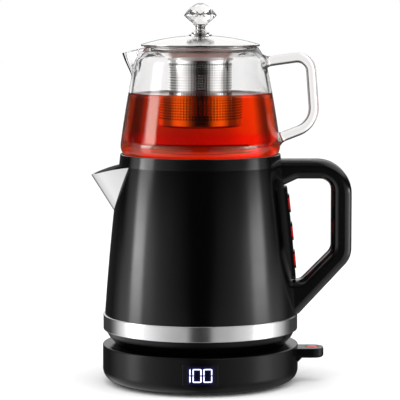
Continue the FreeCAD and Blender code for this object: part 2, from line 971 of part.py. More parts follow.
def largest(shape):
    return max(shape.Solids, key=lambda solid: solid.Volume)


# ---- kettle handle ----------------------------------------------------------------------
handle_top = ring_top - handle_drop
handle_back = body_foot_radius + handle_reach
handle_foot_x = body_foot_radius + handle_foot_out
handle_foot_z = band_top + handle_foot_gap
handle_root_z = handle_foot_z + handle_foot_height
handle_elbow_z = handle_foot_z + handle_elbow_rise
handle_inner_x = handle_back - handle_bar
handle_inner_top = handle_top - handle_top_bar
handle_throat_z = handle_inner_top - handle_throat_height
handle_screw_heights = (handle_foot_z + handle_low_screw_rise, handle_top - handle_high_screw_drop)


def handle_solid():
    """The whole handle, fitted to the kettle's wall."""
    inside_wall = body_top_radius - liner_gap
    block = slab(
        [
            (inside_wall, handle_top, 0),
            (handle_back, handle_top, handle_outer_round),
            (handle_back, handle_elbow_z, handle_elbow_round),
            (handle_foot_x, handle_foot_z, 0),
            (inside_wall, handle_foot_z, 0),
            (inside_wall, handle_root_z, 0),
            (body_foot_radius + handle_root_out, handle_root_z, handle_root_round),
            (handle_inner_x, handle_elbow_z + handle_inner_elbow_rise, handle_inner_round),
            (handle_inner_x, handle_inner_top, handle_inner_round),
            (body_foot_radius + handle_throat_out, handle_inner_top, handle_throat_round),
            (inside_wall, handle_throat_z, 0),
        ],
        -handle_width / 2,
        handle_width / 2,
    )
    rims = []
    for edge in block.Edges:
        flat = edge.BoundBox.YLength < rest_gap
        outside = edge.BoundBox.XMax > body_foot_radius
        if flat and outside and edge.BoundBox.ZMin > handle_foot_z + rest_gap:
            rims.append(edge)
    block = block.makeFillet(handle_edge_round, rims)
    return largest(block.cut(kettle_envelope()))


def handle_cover_zone():
    """Everything within the cover's thickness of the handle's outer face."""
    inset = handle_cover_thickness
    lean = math.atan2(handle_elbow_z - handle_foot_z, handle_back - handle_foot_x)
    foot_x = handle_foot_x - inset / math.sin(lean)
    elbow_z = handle_elbow_z + inset * math.tan((math.pi / 2 - lean) / 2)
    core = slab(
        [
            (0, handle_top - inset, 0),
            (handle_back - inset, handle_top - inset, handle_outer_round - inset),
            (handle_back - inset, elbow_z, handle_elbow_round - inset),
            (foot_x, handle_foot_z, 0),
            (0, handle_foot_z, 0),
        ],
        -handle_width,
        handle_width,
    )
    return box(0, kettle_reach, -handle_width, handle_width, handle_foot_z, ring_top).cut(core)


def handle_cap_block(grow=0.0):
    """Inlay let into the handle's top."""
    start = body_foot_radius + cap_start_out
    side = cap_width / 2 + grow
    low = handle_top - cap_depth - grow
    return box(start - grow, start + cap_length + grow, -side, side, low, handle_top)


def at_handle_screw(shape, height):
    """Lays a shape modelled up the Z axis along +X at a screw's height, z = 0 at the screw's seat."""
    shape.rotate(FreeCAD.Vector(), FreeCAD.Vector(0, 1, 0), 90)
    wall = body_flank.radius(height + screw_head_radius, shell_wall)
    seat = math.sqrt(wall ** 2 - screw_head_radius ** 2) - seat_gap
    shape.translate(FreeCAD.Vector(seat, 0, height))
    return shape


def handle_screw_set():
    """Screws from inside the shell into the handle's two roots, their heads clear of its slope."""
    return [at_handle_screw(screw(-screw_head_height), height) for height in handle_screw_heights]


def handle_screw_holes():
    radius = screw_shank_radius + rest_gap
    return [at_handle_screw(disc(radius, -overcut, liner_gap), height) for height in handle_screw_heights]


def handle_grip():
    grip = handle_solid().cut(handle_cover_zone())
    return largest(grip.cut(handle_screw_set()))


def handle_cover():
    cover = handle_solid().common(handle_cover_zone())
    return largest(cover.cut(handle_cap_block(rest_gap)))


def handle_cap():
    return handle_cap_block().common(handle_solid())


# ---- control strip and buttons ----------------------------------------------------------
strip_bottom = handle_root_z + strip_low_margin
strip_top = handle_throat_z + strip_high_margin
button_pitch = (
    (strip_top - button_high_margin) - (strip_bottom + button_low_margin)
) / (button_count - 1)
button_height = button_pitch - button_web
button_heights = [strip_bottom + button_low_margin + index * button_pitch for index in range(button_count)]
strip_board_inset = liner_inset - loose_gap
strip_board_face = strip_board_inset - strip_board_thickness


def strip_zone(z0, z1, half, inner_inset, outer_inset):
    """Piece of the kettle's wall on the handle side between two insets."""
    zone = box(0, kettle_reach, -half, half, z0, z1)
    shell = body_flank.shell(z0 - rest_gap, z1 + rest_gap, inner_inset, outer_inset)
    return shell.common(zone)


def button_prism(height, grow=0.0):
    return side_prism(
        button_width + 2 * grow, button_height + 2 * grow, height, button_corner + grow, 0, kettle_reach
    )


def control_strip():
    plan = side_prism(
        strip_width, strip_top - strip_bottom, (strip_bottom + strip_top) / 2, button_corner,
        0, kettle_reach,
    )
    strip = strip_zone(strip_bottom, strip_top, strip_width / 2, 0.0, -strip_proud).common(plan)
    return strip.cut([button_prism(height, button_gap) for height in button_heights])


def button_layer(height, inner_inset, outer_inset):
    """Curved layer behind or on a button, wider and taller than the button itself."""
    reach = button_pitch / 2
    return strip_zone(height - reach, height + reach, button_width, inner_inset, outer_inset)


def button(height):
    face = -strip_proud - button_proud
    cap = button_layer(height, rest_gap, face).common(button_prism(height))
    flange = button_layer(height, rest_gap + button_flange_height, rest_gap)
    flange = flange.common(button_prism(height, button_flange))
    return cap.fuse(flange).cut(button_lamp(height)).removeSplitter()


def button_lamp(height):
    """Lit strip right across a button's face."""
    face = -strip_proud - button_proud
    prism = side_prism(button_width, lamp_height, height, lamp_corner, 0, kettle_reach)
    return button_layer(height, face + lamp_depth, face).common(prism)


def strip_board():
    """Circuit board between the shell and the liner, behind the buttons."""
    margin = strip_window_margin + strip_board_margin
    half = strip_width / 2 - strip_window_margin - loose_gap
    return strip_zone(
        strip_bottom + margin, strip_top - margin, half, strip_board_inset, strip_board_face
    )


def strip_switches():
    """One small switch behind each button, met at the end of the button's travel."""
    face = 2 * rest_gap + button_flange_height + button_travel
    half = switch_size / 2
    return Part.makeCompound([
        strip_zone(height - half, height + half, half, strip_board_face, face) for height in button_heights
    ])


# ---- glass teapot -----------------------------------------------------------------------
jar_shoulder_z = jar_bottom + jar_shoulder
jar_shoulder_middle_z = (jar_high_point[1] + jar_shoulder_z) / 2
lip_tip_z = jar_bottom + lip_tip_height


def jar_outside():
    """Outside of the glass body, without its lip and handle."""
    return turned(
        (0, jar_bottom),
        (jar_foot_radius, jar_bottom),
        (
            (jar_foot_radius + jar_foot_bend[0], jar_bottom + jar_foot_bend[1]),
            (jar_foot_radius + jar_heel[0], jar_bottom + jar_heel[1]),
        ),
        jar_low_point,
        jar_flank.step(jar_low_point[1], jar_high_point[1]),
        (
            (jar_high_radius - jar_shoulder_bulge, jar_shoulder_middle_z),
            (jar_shoulder_radius, jar_shoulder_z),
        ),
        (jar_neck_radius, jar_top),
        (0, jar_top),
    )


def jar_cavity():
    """Inside of the glass body, mouth included."""
    rim_low = jar_top - jar_rim_thickness
    heel_z = jar_low_point[1] + jar_inner_heel_rise
    inner_shoulder = jar_shoulder_radius - jar_wall - jar_shoulder_thickening
    return turned(
        (0, jar_floor),
        (jar_foot_radius, jar_floor),
        (
            (jar_foot_radius + jar_inner_bend[0], jar_floor + jar_inner_bend[1]),
            jar_flank.point(heel_z, jar_wall),
        ),
        jar_flank.step(heel_z, jar_high_point[1], jar_wall),
        (
            (jar_high_radius - jar_wall - jar_shoulder_bulge, jar_shoulder_middle_z),
            (inner_shoulder, jar_shoulder_z - jar_shoulder_thickening),
        ),
        (jar_neck_radius - jar_wall, rim_low),
        (jar_mouth_radius, rim_low),
        (jar_mouth_radius, jar_top + jar_wall),
        (0, jar_top + jar_wall),
    )


def upright_ellipse(x, z, half_width, half_height):
    """Closed wire in the plane at x."""
    curve = Part.Ellipse(FreeCAD.Vector(), max(half_width, half_height), min(half_width, half_height))
    wire = Part.Wire([curve.toShape()])
    if half_width > half_height:
        wire.rotate(FreeCAD.Vector(), FreeCAD.Vector(0, 0, 1), 90)
    wire.rotate(FreeCAD.Vector(), FreeCAD.Vector(0, 1, 0), 90)
    wire.translate(FreeCAD.Vector(x, 0, z))
    return wire


def lip_cone(inset):
    """Tapering lip from inside the jar to its tip."""
    tip = upright_ellipse(
        lip_tip_x, lip_tip_z, lip_tip_half_width - inset / 2, lip_tip_half_height - inset / 2
    )
    root = upright_ellipse(
        lip_root_x, jar_bottom + lip_root_height, lip_root_half_width - inset,
        lip_root_half_height - inset,
    )
    return Part.makeLoft([root, tip], True, True)


def below_lip_edge():
    """Space below the lip's sloping pouring edge."""
    beyond = lip_tip_x - jar_wall
    return slab(
        [
            (0, jar_bottom, 0),
            (beyond, jar_bottom, 0),
            (beyond, lip_tip_z, 0),
            (lip_tip_x, lip_tip_z + lip_brim, 0),
            (lip_cut_x, jar_top, 0),
            (0, jar_top, 0),
        ],
        -jar_neck_radius,
        jar_neck_radius,
    )


def teapot_jar():
    """Blown body with its pouring lip drawn out of the shoulder."""
    glass = jar_outside().fuse(lip_cone(0.0).common(below_lip_edge()))
    glass = glass.cut(jar_cavity()).cut(lip_cone(lip_wall))
    return largest(glass.removeSplitter())


def teapot_handle():
    """Bent glass rod, fused to the jar at both ends."""
    corners = [
        (rod_top[0], jar_bottom + rod_top[1], 0),
        (rod_shoulder[0], jar_bottom + rod_shoulder[1], rod_shoulder_round),
        (rod_elbow[0], jar_bottom + rod_elbow[1], rod_elbow_round),
        (rod_bottom[0], jar_bottom + rod_bottom[1], 0),
    ]
    path = Part.Wire(rounded_edges(corners, False))
    run = unit(rod_top, rod_shoulder)
    circle = Part.makeCircle(glass_rod_radius, at(corners[0][:2]), FreeCAD.Vector(run[0], 0, run[1]))
    rod = path.makePipe(Part.Face(Part.Wire([circle])))
    return largest(rod.cut(jar_outside()))


# ---- infuser ----------------------------------------------------------------------------
def infuser_collar():
    """Pressed brim, cone and neck, in one sheet."""
    neck = basket_radius + seat_gap
    neck_low = infuser_cone_bottom_z - infuser_neck_length
    brim_radius = jar_neck_radius - infuser_brim_inset
    return turned(
        (brim_radius, brim_bottom),
        (brim_radius, brim_top),
        (infuser_cone_top_radius, brim_top),
        (neck, infuser_cone_bottom_z + sheet),
        (neck, neck_low),
        (neck + sheet, neck_low),
        (neck + sheet, infuser_cone_bottom_z),
        (infuser_cone_top_radius + sheet, brim_bottom),
    )


def infuser_gasket():
    outer = jar_mouth_radius - loose_gap
    return ring(outer - gasket_thickness, outer, brim_bottom - gasket_height, brim_bottom)


def infuser_sleeve():
    return ring(
        basket_radius - sheet, basket_radius, basket_bottom + basket_bottom_round, infuser_cone_bottom_z
    )


def infuser_base():
    bend = basket_bottom_round
    centre = (basket_radius - bend, basket_bottom + bend)
    inner = bend - sheet
    return turned(
        (0, basket_bottom),
        (basket_radius - bend, basket_bottom),
        (degrees_point(centre, bend, -45), degrees_point(centre, bend, 0)),
        (basket_radius - sheet, basket_bottom + bend),
        (degrees_point(centre, inner, -45), degrees_point(centre, inner, -90)),
        (0, basket_bottom + sheet),
    )


# ---- lid and knob -----------------------------------------------------------------------
def under_lid(radius, inset):
    """Everything below a face that runs parallel to the lid's top."""
    low = infuser_cone_bottom_z
    return turned((0, low), (radius, low), lid_cap.point(radius, inset), lid_cap.step(radius, 0, inset))


def lid_dome():
    top = turned(
        (0, lid_bottom),
        (lid_dome_rim, lid_bottom),
        ((lid_radius, lid_bottom + lid_rim_height / 2), (lid_dome_rim, lid_rim_top)),
        lid_cap.step(lid_dome_rim, 0),
    )
    hollow = under_lid(lid_dome_rim - lid_wall, lid_wall)
    return top.cut(hollow).cut(disc(knob_thread_radius, lid_bottom, lid_top + lid_wall))


def lid_skirt():
    """Short sleeve under the lid that centres it in the infuser's cone."""
    share = (lid_skirt_radius - basket_radius) / (infuser_cone_top_radius - basket_radius)
    cone_z = infuser_cone_bottom_z + share * infuser_cone_depth + sheet
    sleeve = ring(lid_skirt_radius - lid_wall, lid_skirt_radius, cone_z + loose_gap, lid_top)
    return sleeve.common(under_lid(lid_skirt_radius + lid_wall, lid_wall + seat_gap))


def knob_stem():
    """Turned foot, bead, waist and cup, and the hole for the screw."""
    bead_low = lid_top + knob_foot_height
    bead_high = lid_top + knob_bead_top
    waist = lid_top + knob_waist_height
    cup = lid_top + knob_cup_height
    waist_side = knob_waist_radius + knob_waist_flare
    stem = turned(
        lid_cap.point(0, -seat_gap),
        lid_cap.step(0, knob_foot_radius, -seat_gap),
        (knob_foot_radius, lid_top + knob_foot_height / 2),
        (knob_bead_radius - knob_bead_inset, bead_low),
        (
            (knob_bead_radius, (bead_low + bead_high) / 2),
            (knob_bead_radius - knob_bead_inset, bead_high),
        ),
        ((waist_side, (bead_high + waist) / 2), (knob_waist_radius, waist)),
        ((waist_side, (waist + cup) / 2), (knob_cup_radius, cup)),
        (0, cup),
    )
    return stem.cut(knob_screw())


def facet_row(start, end, phase, low, high):
    """Frustum of flats along the line between two (radius, height) points, from low to high."""
    slope = (end[0] - start[0]) / (end[1] - start[1])
    ends = []
    for height in (low, high):
        flat = start[0] + (height - start[1]) * slope
        corner = flat / math.cos(math.pi / crystal_facets)
        points = []
        for index in range(crystal_facets):
            x, y = degrees_point((0, 0), corner, 360.0 * (index + phase) / crystal_facets)
            points.append(FreeCAD.Vector(x, y, height))
        ends.append(Part.makePolygon([*points, points[0]]))
    return Part.makeLoft(ends, True, True)


def knob_crystal():
    """Cut-glass knob: rings of flats round an upright axis, each ring turned half a step."""
    low = lid_top + knob_cup_height
    girdle_low = low + crystal_pavilion[-1][1]
    girdle_high = girdle_low + crystal_girdle
    profile = [(radius, girdle_low - depth) for radius, depth in reversed(crystal_pavilion)]
    profile += [(crystal_radius, girdle_low), (crystal_radius, girdle_high)]
    profile += [(radius, girdle_high + height) for radius, height in crystal_crown]
    high = profile[-1][1]
    rows = []
    for index, start in enumerate(profile[:-1]):
        rows.append(facet_row(start, profile[index + 1], (index % 2) / 2, low, high))
    stone = rows[0]
    for row in rows[1:]:
        stone = stone.common(row)
    return stone


def lid_washer():
    seat = lid_cap.height(washer_radius, lid_wall)
    return ring(knob_thread_radius, washer_radius, seat - washer_thickness, seat)


def knob_screw():
    low = lid_cap.height(washer_radius, lid_wall) - washer_thickness - screw_head_height
    head = disc(screw_head_radius, low, low + screw_head_height)
    shank = disc(knob_thread_radius - seat_gap, low, lid_top + knob_waist_height)
    return head.fuse(shank).removeSplitter()


# ---- all pieces, by node name -----------------------------------------------------------
def build():
    makers = [
        base_housing, base_cover, base_feet, base_plug, base_contacts, control_board, display_module,
        display_window, cord_gland, tab_board, tab_switch, power_button, turning_collar,
        kettle_body, kettle_liner, heater_plate, heating_element, kettle_socket, kettle_contacts,
        kettle_skirt, steel_band, top_ring, kettle_spout, spout_filter,
        handle_grip, handle_cover, handle_cap, control_strip, strip_board, strip_switches,
        teapot_jar, teapot_handle, infuser_collar, infuser_gasket, infuser_sleeve, infuser_base,
        lid_dome, lid_skirt, lid_washer, knob_stem, knob_screw, knob_crystal,
    ]
    pieces = {maker.__name__: maker() for maker in makers}
    pieces["base_screws"] = Part.makeCompound(base_screw_set())
    pieces["handle_screws"] = Part.makeCompound(handle_screw_set())
    for number, height in enumerate(button_heights, start=1):
        pieces["button_%d" % number] = button(height)
        pieces["button_lamp_%d" % number] = button_lamp(height)
    return pieces


os.makedirs("parts", exist_ok=True)
for node, shape in build().items():
    shape.exportStep("parts/%s.step" % node)
    print(node, len(shape.Solids), round(shape.Volume, 1), shape.isValid())
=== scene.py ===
import math

import bmesh
import bpy
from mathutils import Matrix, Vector


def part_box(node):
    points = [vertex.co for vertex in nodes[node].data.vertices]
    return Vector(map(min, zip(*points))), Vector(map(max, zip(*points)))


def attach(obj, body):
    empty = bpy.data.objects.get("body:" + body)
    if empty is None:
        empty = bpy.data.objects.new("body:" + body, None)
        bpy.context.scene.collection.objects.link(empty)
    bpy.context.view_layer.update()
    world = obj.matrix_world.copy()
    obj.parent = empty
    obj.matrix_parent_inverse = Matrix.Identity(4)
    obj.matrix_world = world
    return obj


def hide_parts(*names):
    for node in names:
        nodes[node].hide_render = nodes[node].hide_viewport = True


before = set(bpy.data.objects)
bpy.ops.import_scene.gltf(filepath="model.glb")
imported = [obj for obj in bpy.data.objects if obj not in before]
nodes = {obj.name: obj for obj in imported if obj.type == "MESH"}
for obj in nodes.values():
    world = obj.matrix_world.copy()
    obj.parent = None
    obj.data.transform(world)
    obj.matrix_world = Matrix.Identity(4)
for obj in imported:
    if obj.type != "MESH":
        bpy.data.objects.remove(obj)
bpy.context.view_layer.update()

# Electric tea maker: kettle on a powered base, with a glass teapot, an infuser and a lid
# on top. Shapes are worked out in millimetres and made in metres; +Z is up, the front is -Y.
MM = 0.001

# ---- camera, millimetres and degrees --------------------------------------------------
camera_place = (-0.3, -1700.0, 309.0)
camera_pitch = 5.38
camera_lens = 188.2

# ---- light ----------------------------------------------------------------------------
backdrop_level = 1.0
fill_level = 1.15
# Each table goes once round: (degrees from the front, + towards +X; level). The studio tables
# are what surfaces reflect, in bands from the ground up to the ceiling. Glass shows backdrop of
# the space behind it, and inside_glass is what steel and tea behind the glass reflect.
studio_ground = (
    (-180, 0.1), (-168, 0.2), (-158, 1.0), (-120, 1.0), (-100, 1.2), (-60, 1.0), (-40, 0.5),
    (-30, 0.4), (0, 0.2), (30, 0.4), (60, 0.7), (120, 0.5), (150, 0.2), (180, 0.15),
)
studio_low_walls = (
    (-180, 0.05), (-150, 0.05), (-132, 0.06), (-122, 0.25), (-110, 0.8), (-96, 1.3),
    (-92, 3.3), (-78, 3.3), (-74, 1.3), (-64, 1.15), (-48, 0.8), (-34, 0.6), (-16, 0.5),
    (-10, 0.08), (0, 0.03), (10, 0.08), (16, 0.5), (34, 0.6), (48, 0.8), (64, 1.0), (72, 2.4),
    (86, 2.4), (96, 1.2), (110, 0.7), (122, 0.2), (132, 0.06), (150, 0.05), (180, 0.05),
)
studio_walls = (
    (-180, 0.1), (-146, 0.03), (-120, 0.02), (-113, 0.4), (-96, 1.2), (-92, 9.3), (-78, 9.3),
    (-74, 1.6), (-68, 2.0), (-55, 0.8), (-40, 0.4), (-27, 0.2), (-13, 0.02), (0, 0.01),
    (13, 0.02), (27, 0.24), (40, 0.4), (52, 0.8), (64, 2.2), (71, 6.5), (86, 6.5),
    (92, 0.8), (104, 0.25), (112, 0.02), (146, 0.03), (180, 0.1),
)
studio_upper_walls = (
    (-180, 0.1), (-120, 0.03), (-96, 0.03), (-91, 1.5), (-73, 1.5), (-68, 0.5), (-40, 0.38),
    (-27, 0.2), (-13, 0.02), (13, 0.02), (27, 0.24), (40, 0.4), (60, 0.2), (68, 0.04), (120, 0.03),
    (180, 0.1),
)
studio_high_walls = (
    (-180, 1.25), (-146, 1.0), (-128, 0.05), (-92, 0.06), (-88, 4.0), (-72, 4.0), (-69, 0.06),
    (0, 0.02), (125, 0.03), (146, 1.0), (180, 1.25),
)
studio_ceiling = (
    (-180, 1.35), (-120, 1.3), (-60, 1.0), (-26, 0.7), (-14, 0.12), (14, 0.12), (26, 0.7),
    (60, 1.0), (120, 1.3), (180, 1.35),
)
# Elevations in degrees between which the band below turns into this one.
studio_bands = (
    (-30.0, -14.0, studio_low_walls),
    (-2.5, -0.5, studio_walls),
    (4.0, 4.8, studio_upper_walls),
    (6.5, 8.0, studio_high_walls),
    (20.0, 34.0, studio_ceiling),
)
backdrop = (
    (-180, 1.0), (-171, 1.1), (-164, 1.6), (-156, 1.7), (-151, 0.6), (-147, 0.25), (-143, 0.3),
    (-138, 1.2), (-130, 1.2), (-122, 0.25), (-110, 0.15), (-98, 1.0), (-82, 1.0), (-70, 0.2),
    (-40, 0.3), (-24, 1.2), (0, 1.0), (24, 1.2), (40, 0.3), (70, 0.2), (82, 1.0), (98, 1.0),
    (110, 0.15), (122, 0.2), (130, 0.6), (137, 0.5), (142, 0.12), (147, 0.12), (151, 0.2),
    (157, 1.1), (172, 1.0), (180, 1.0),
)
inside_glass = (
    (-180, 2.0), (-151, 1.4), (-128, 0.4), (-104, 0.4), (-86, 1.4), (-72, 1.7), (-59, 1.5),
    (-46, 1.0), (-35, 0.4), (-23, 0.1), (-12, 0.0), (12, 0.0), (22, 0.02), (32, 0.3),
    (44, 1.1), (56, 1.5), (69, 1.7), (83, 1.1), (99, 0.3), (117, 0.2), (144, 0.8), (180, 1.3),
)
# Elevations at which the two begin to fade and are gone: backdrop to a dark overhead, and
# inside_glass to the studio.
backdrop_fades = (14.0, 30.0)
inside_glass_fades = (0.5, 3.5)
overhead_level = 0.06
# Area lights: name, azimuth in degrees, then metres: distance, height, width and length; the
# level; and the height that it is aimed at.
softboxes = (
    ("left_softbox", -82, 1.2, 0.9, 0.8, 1.2, 1.1, 0.2),
    ("right_softbox", 79, 1.3, 0.9, 0.8, 1.2, 1.0, 0.2),
    ("top_softbox", 20, 0.25, 1.3, 0.9, 0.7, 2.2, 0.1),
)
floor_rings = (0, 600, 9000)
floor_sides = 64


# ---- mesh helpers ---------------------------------------------------------------------
def piece_from(name, points, faces, material, body, smooth=True):
    """Mesh object from points in millimetres, riding on a body."""
    mesh = bpy.data.meshes.new(name)
    mesh.from_pydata([Vector(point) * MM for point in points], [], faces)
    mesh.validate()
    mesh.update()
    for polygon in mesh.polygons:
        polygon.use_smooth = smooth
    piece = bpy.data.objects.new(name, mesh)
    bpy.context.scene.collection.objects.link(piece)
    mesh.materials.append(material)
    if body:
        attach(piece, body)
    return piece


def rounded(corners, steps=8):
    """Outline through corners (radius, z, rounding), each rounding drawn as an arc."""
    outline = []
    last = len(corners) - 1
    for index, (x, z, bend) in enumerate(corners):
        corner = Vector((x, z))
        if bend == 0 or index in (0, last):
            outline.append(tuple(corner))
            continue
        before = (Vector(corners[index - 1][:2]) - corner).normalized()
        after = (Vector(corners[index + 1][:2]) - corner).normalized()
        half = before.angle(after) / 2
        reach = bend / math.tan(half)
        centre = corner + (before + after).normalized() * (bend / math.sin(half))
        first = corner + before * reach - centre
        second = corner + after * reach - centre
        sweep = first.angle(second)
        for step in range(steps + 1):
            share = step / steps
            along = first * math.sin((1 - share) * sweep) + second * math.sin(share * sweep)
            outline.append(tuple(centre + along / math.sin(sweep)))
    return outline


def bowed(start, middle, end, steps):
    """Points of the arc through three points, both ends included."""
    (ax, ay), (bx, by), (cx, cy) = start, middle, end
    scale = 2 * (ax * (by - cy) + bx * (cy - ay) + cx * (ay - by))
    squares = [x * x + y * y for x, y in (start, middle, end)]
    ox = (squares[0] * (by - cy) + squares[1] * (cy - ay) + squares[2] * (ay - by)) / scale
    oy = (squares[0] * (cx - bx) + squares[1] * (ax - cx) + squares[2] * (bx - ax)) / scale
    bend = math.dist((ox, oy), start)
    first = math.atan2(ay - oy, ax - ox)
    last = math.atan2(cy - oy, cx - ox)
    turn = (last - first + math.pi) % (2 * math.pi) - math.pi
    angles = [first + turn * step / steps for step in range(steps + 1)]
    return [(ox + bend * math.cos(angle), oy + bend * math.sin(angle)) for angle in angles]


def angles_round(count):
    """Equal angles for one turn."""
    return [2 * math.pi * index / count for index in range(count)]


def revolved(outline, angles, shift=None):
    """Points and faces of an outline (radius, z) turned about Z. Ends at radius 0 are closed."""
    points = []
    rows = []
    for x, z in outline:
        if x < 1e-6:
            rows.append([len(points)] * len(angles))
            points.append((0.0, 0.0, z))
            continue
        row = []
        for angle in angles:
            radius, height = shift(x, z, angle) if shift else (x, z)
            row.append(len(points))
            points.append((radius * math.cos(angle), radius * math.sin(angle), height))
        rows.append(row)
    faces = []
    for lower, upper in zip(rows, rows[1:]):
        for index in range(len(angles)):
            following = (index + 1) % len(angles)
            corners = (lower[index], lower[following], upper[following], upper[index])
            faces.append(tuple(dict.fromkeys(corners)))
    return points, faces


# ---- materials ------------------------------------------------------------------------
black = (0.0010, 0.0010, 0.0012)
chrome = (0.72, 0.71, 0.70)
# Painted shade: dark brown for the shadow line just under the infuser's brim.
brim_shade_brown = (0.10, 0.06, 0.045)
# Painted shade: dark brown for the shadow line under the lid's rim.
rim_shade_steel = (0.05, 0.035, 0.025)
amber = (1.0, 0.85, 0.5)
# Painted shade: darker tea colour for the infuser's shadow.
infuser_shade_tea = (0.46, 0.25, 0.12)
# A noise texture mostly stays between these values.
noise_low = 0.3
noise_high = 0.7


class Finish:
    """One material: a Principled surface whose details come from noise in object space."""

    def __init__(self, name, **settings):
        self.material = bpy.data.materials.new(name)
        self.material.use_nodes = True
        self.tree = self.material.node_tree
        self.surface = self.tree.nodes["Principled BSDF"]
        self.height = None
        for socket, value in settings.items():
            self.surface.inputs[socket.replace("_", " ")].default_value = value

    def add(self, kind, **settings):
        node = self.tree.nodes.new(kind)
        for key, value in settings.items():
            setattr(node, key, value)
        return node

    def join(self, source, target):
        self.tree.links.new(source, target)

    def position(self):
        """Place on the piece, in metres: sockets X, Y and Z."""
        place = self.add("ShaderNodeTexCoord")
        split = self.add("ShaderNodeSeparateXYZ")
        self.join(place.outputs["Object"], split.inputs["Vector"])
        return split.outputs

    def noise(self, grain, detail=2.0, contrast=0.5):
        """Noise with grains of (x, y, z) millimetres; grain may be one number."""
        sizes = grain if isinstance(grain, tuple) else (grain,) * 3
        place = self.add("ShaderNodeTexCoord")
        scaling = self.add("ShaderNodeMapping")
        scaling.inputs["Scale"].default_value = [1 / (size * MM) for size in sizes]
        texture = self.add("ShaderNodeTexNoise")
        texture.inputs["Scale"].default_value = 1.0
        texture.inputs["Detail"].default_value = detail
        texture.inputs["Roughness"].default_value = contrast
        self.join(place.outputs["Object"], scaling.inputs["Vector"])
        self.join(scaling.outputs["Vector"], texture.inputs["Vector"])
        return texture.outputs["Fac"]

    def rings(self, grain, detail=2.0):
        """Noise that changes only with the distance from the Z axis, as spinning leaves it."""
        place = self.add("ShaderNodeTexCoord")
        flatten = self.add("ShaderNodeVectorMath", operation="MULTIPLY")
        flatten.inputs[1].default_value = (1.0, 1.0, 0.0)
        distance = self.add("ShaderNodeVectorMath", operation="LENGTH")
        texture = self.add("ShaderNodeTexNoise", noise_dimensions="1D")
        texture.inputs["Scale"].default_value = 1 / (grain * MM)
        texture.inputs["Detail"].default_value = detail
        self.join(place.outputs["Object"], flatten.inputs[0])
        self.join(flatten.outputs["Vector"], distance.inputs[0])
        self.join(distance.outputs["Value"], texture.inputs["W"])
        return texture.outputs["Fac"]

    def vary(self, socket, source, low, high):
        """Lets a number follow a texture between two values."""
        spread = self.add("ShaderNodeMapRange")
        spread.inputs["From Min"].default_value = noise_low
        spread.inputs["From Max"].default_value = noise_high
        spread.inputs["To Min"].default_value = low
        spread.inputs["To Max"].default_value = high
        self.join(source, spread.inputs["Value"])
        self.join(spread.outputs["Result"], self.surface.inputs[socket])

    def tint(self, source, first, second):
        """Lets the base colour follow a texture between two colours."""
        ramp = self.add("ShaderNodeValToRGB")
        ramp.color_ramp.elements[0].position = noise_low
        ramp.color_ramp.elements[1].position = noise_high
        ramp.color_ramp.elements[0].color = (*first, 1.0)
        ramp.color_ramp.elements[1].color = (*second, 1.0)
        self.join(source, ramp.inputs["Fac"])
        self.join(ramp.outputs["Color"], self.surface.inputs["Base Color"])

    def along(self, axis, source, wander, stops):
        """Base colour by the place along an axis: (millimetres, colour), shifted by a texture."""
        low = stops[0][0]
        high = stops[-1][0]
        share = self.add("ShaderNodeMapRange")
        share.inputs["From Min"].default_value = low * MM
        share.inputs["From Max"].default_value = high * MM
        self.join(self.position()[axis], share.inputs["Value"])
        shift = self.add("ShaderNodeMath", operation="MULTIPLY_ADD")
        shift.inputs[1].default_value = wander / (high - low)
        self.join(source, shift.inputs[0])
        self.join(share.outputs["Result"], shift.inputs[2])
        ramp = self.add("ShaderNodeValToRGB")
        levels = ramp.color_ramp.elements
        while len(levels) < len(stops):
            levels.new(0.5)
        for level, (where, colour) in zip(levels, stops):
            level.position = (where - low) / (high - low)
            level.color = (*colour, 1.0)
        self.join(shift.outputs["Value"], ramp.inputs["Fac"])
        self.join(ramp.outputs["Color"], self.surface.inputs["Base Color"])
        return ramp.outputs["Color"]

    def in_front(self, colour, behind):
        """Gives the front half, at -Y, one colour and leaves the other behind it."""
        half = self.add("ShaderNodeMath", operation="GREATER_THAN")
        half.inputs[1].default_value = 0.0
        self.join(self.position()["Y"], half.inputs[0])
        mix = self.add("ShaderNodeMix", data_type="RGBA")
        mix.inputs["A"].default_value = (*colour, 1.0)
        self.join(half.outputs["Value"], mix.inputs["Factor"])
        self.join(behind, mix.inputs["B"])
        self.join(mix.outputs["Result"], self.surface.inputs["Base Color"])

    def glow_below(self, full, end, level):
        """Glow of a level up to the height full, gone at the height end, in millimetres."""
        fade = self.add("ShaderNodeMapRange")
        fade.inputs["From Min"].default_value = full * MM
        fade.inputs["From Max"].default_value = end * MM
        fade.inputs["To Min"].default_value = level
        fade.inputs["To Max"].default_value = 0.0
        self.join(self.position()["Z"], fade.inputs["Value"])
        self.join(fade.outputs["Result"], self.surface.inputs["Emission Strength"])

    def emboss(self, source, depth, strength=1.0):
        """Raises the surface by a texture, depth in millimetres. Calls add up."""
        bump = self.add("ShaderNodeBump")
        bump.inputs["Distance"].default_value = depth * MM
        bump.inputs["Strength"].default_value = strength
        self.join(source, bump.inputs["Height"])
        if self.height:
            self.join(self.height, bump.inputs["Normal"])
        self.height = bump.outputs["Normal"]
        self.join(self.height, self.surface.inputs["Normal"])

    def brushed_round(self, amount):
        """Brush lines that run round the Z axis."""
        tangent = self.add("ShaderNodeTangent", direction_type="RADIAL", axis="Z")
        self.join(tangent.outputs["Tangent"], self.surface.inputs["Tangent"])
        self.surface.inputs["Anisotropic"].default_value = amount
        self.surface.inputs["Anisotropic Rotation"].default_value = 0.25  # a quarter turn

    def absorb(self, colour, density):
        """Fills the inside, so that thick places are darker."""
        volume = self.add("ShaderNodeVolumeAbsorption")
        volume.inputs["Color"].default_value = (*colour, 1.0)
        volume.inputs["Density"].default_value = density
        self.join(volume.outputs["Volume"], self.tree.nodes["Material Output"].inputs["Volume"])


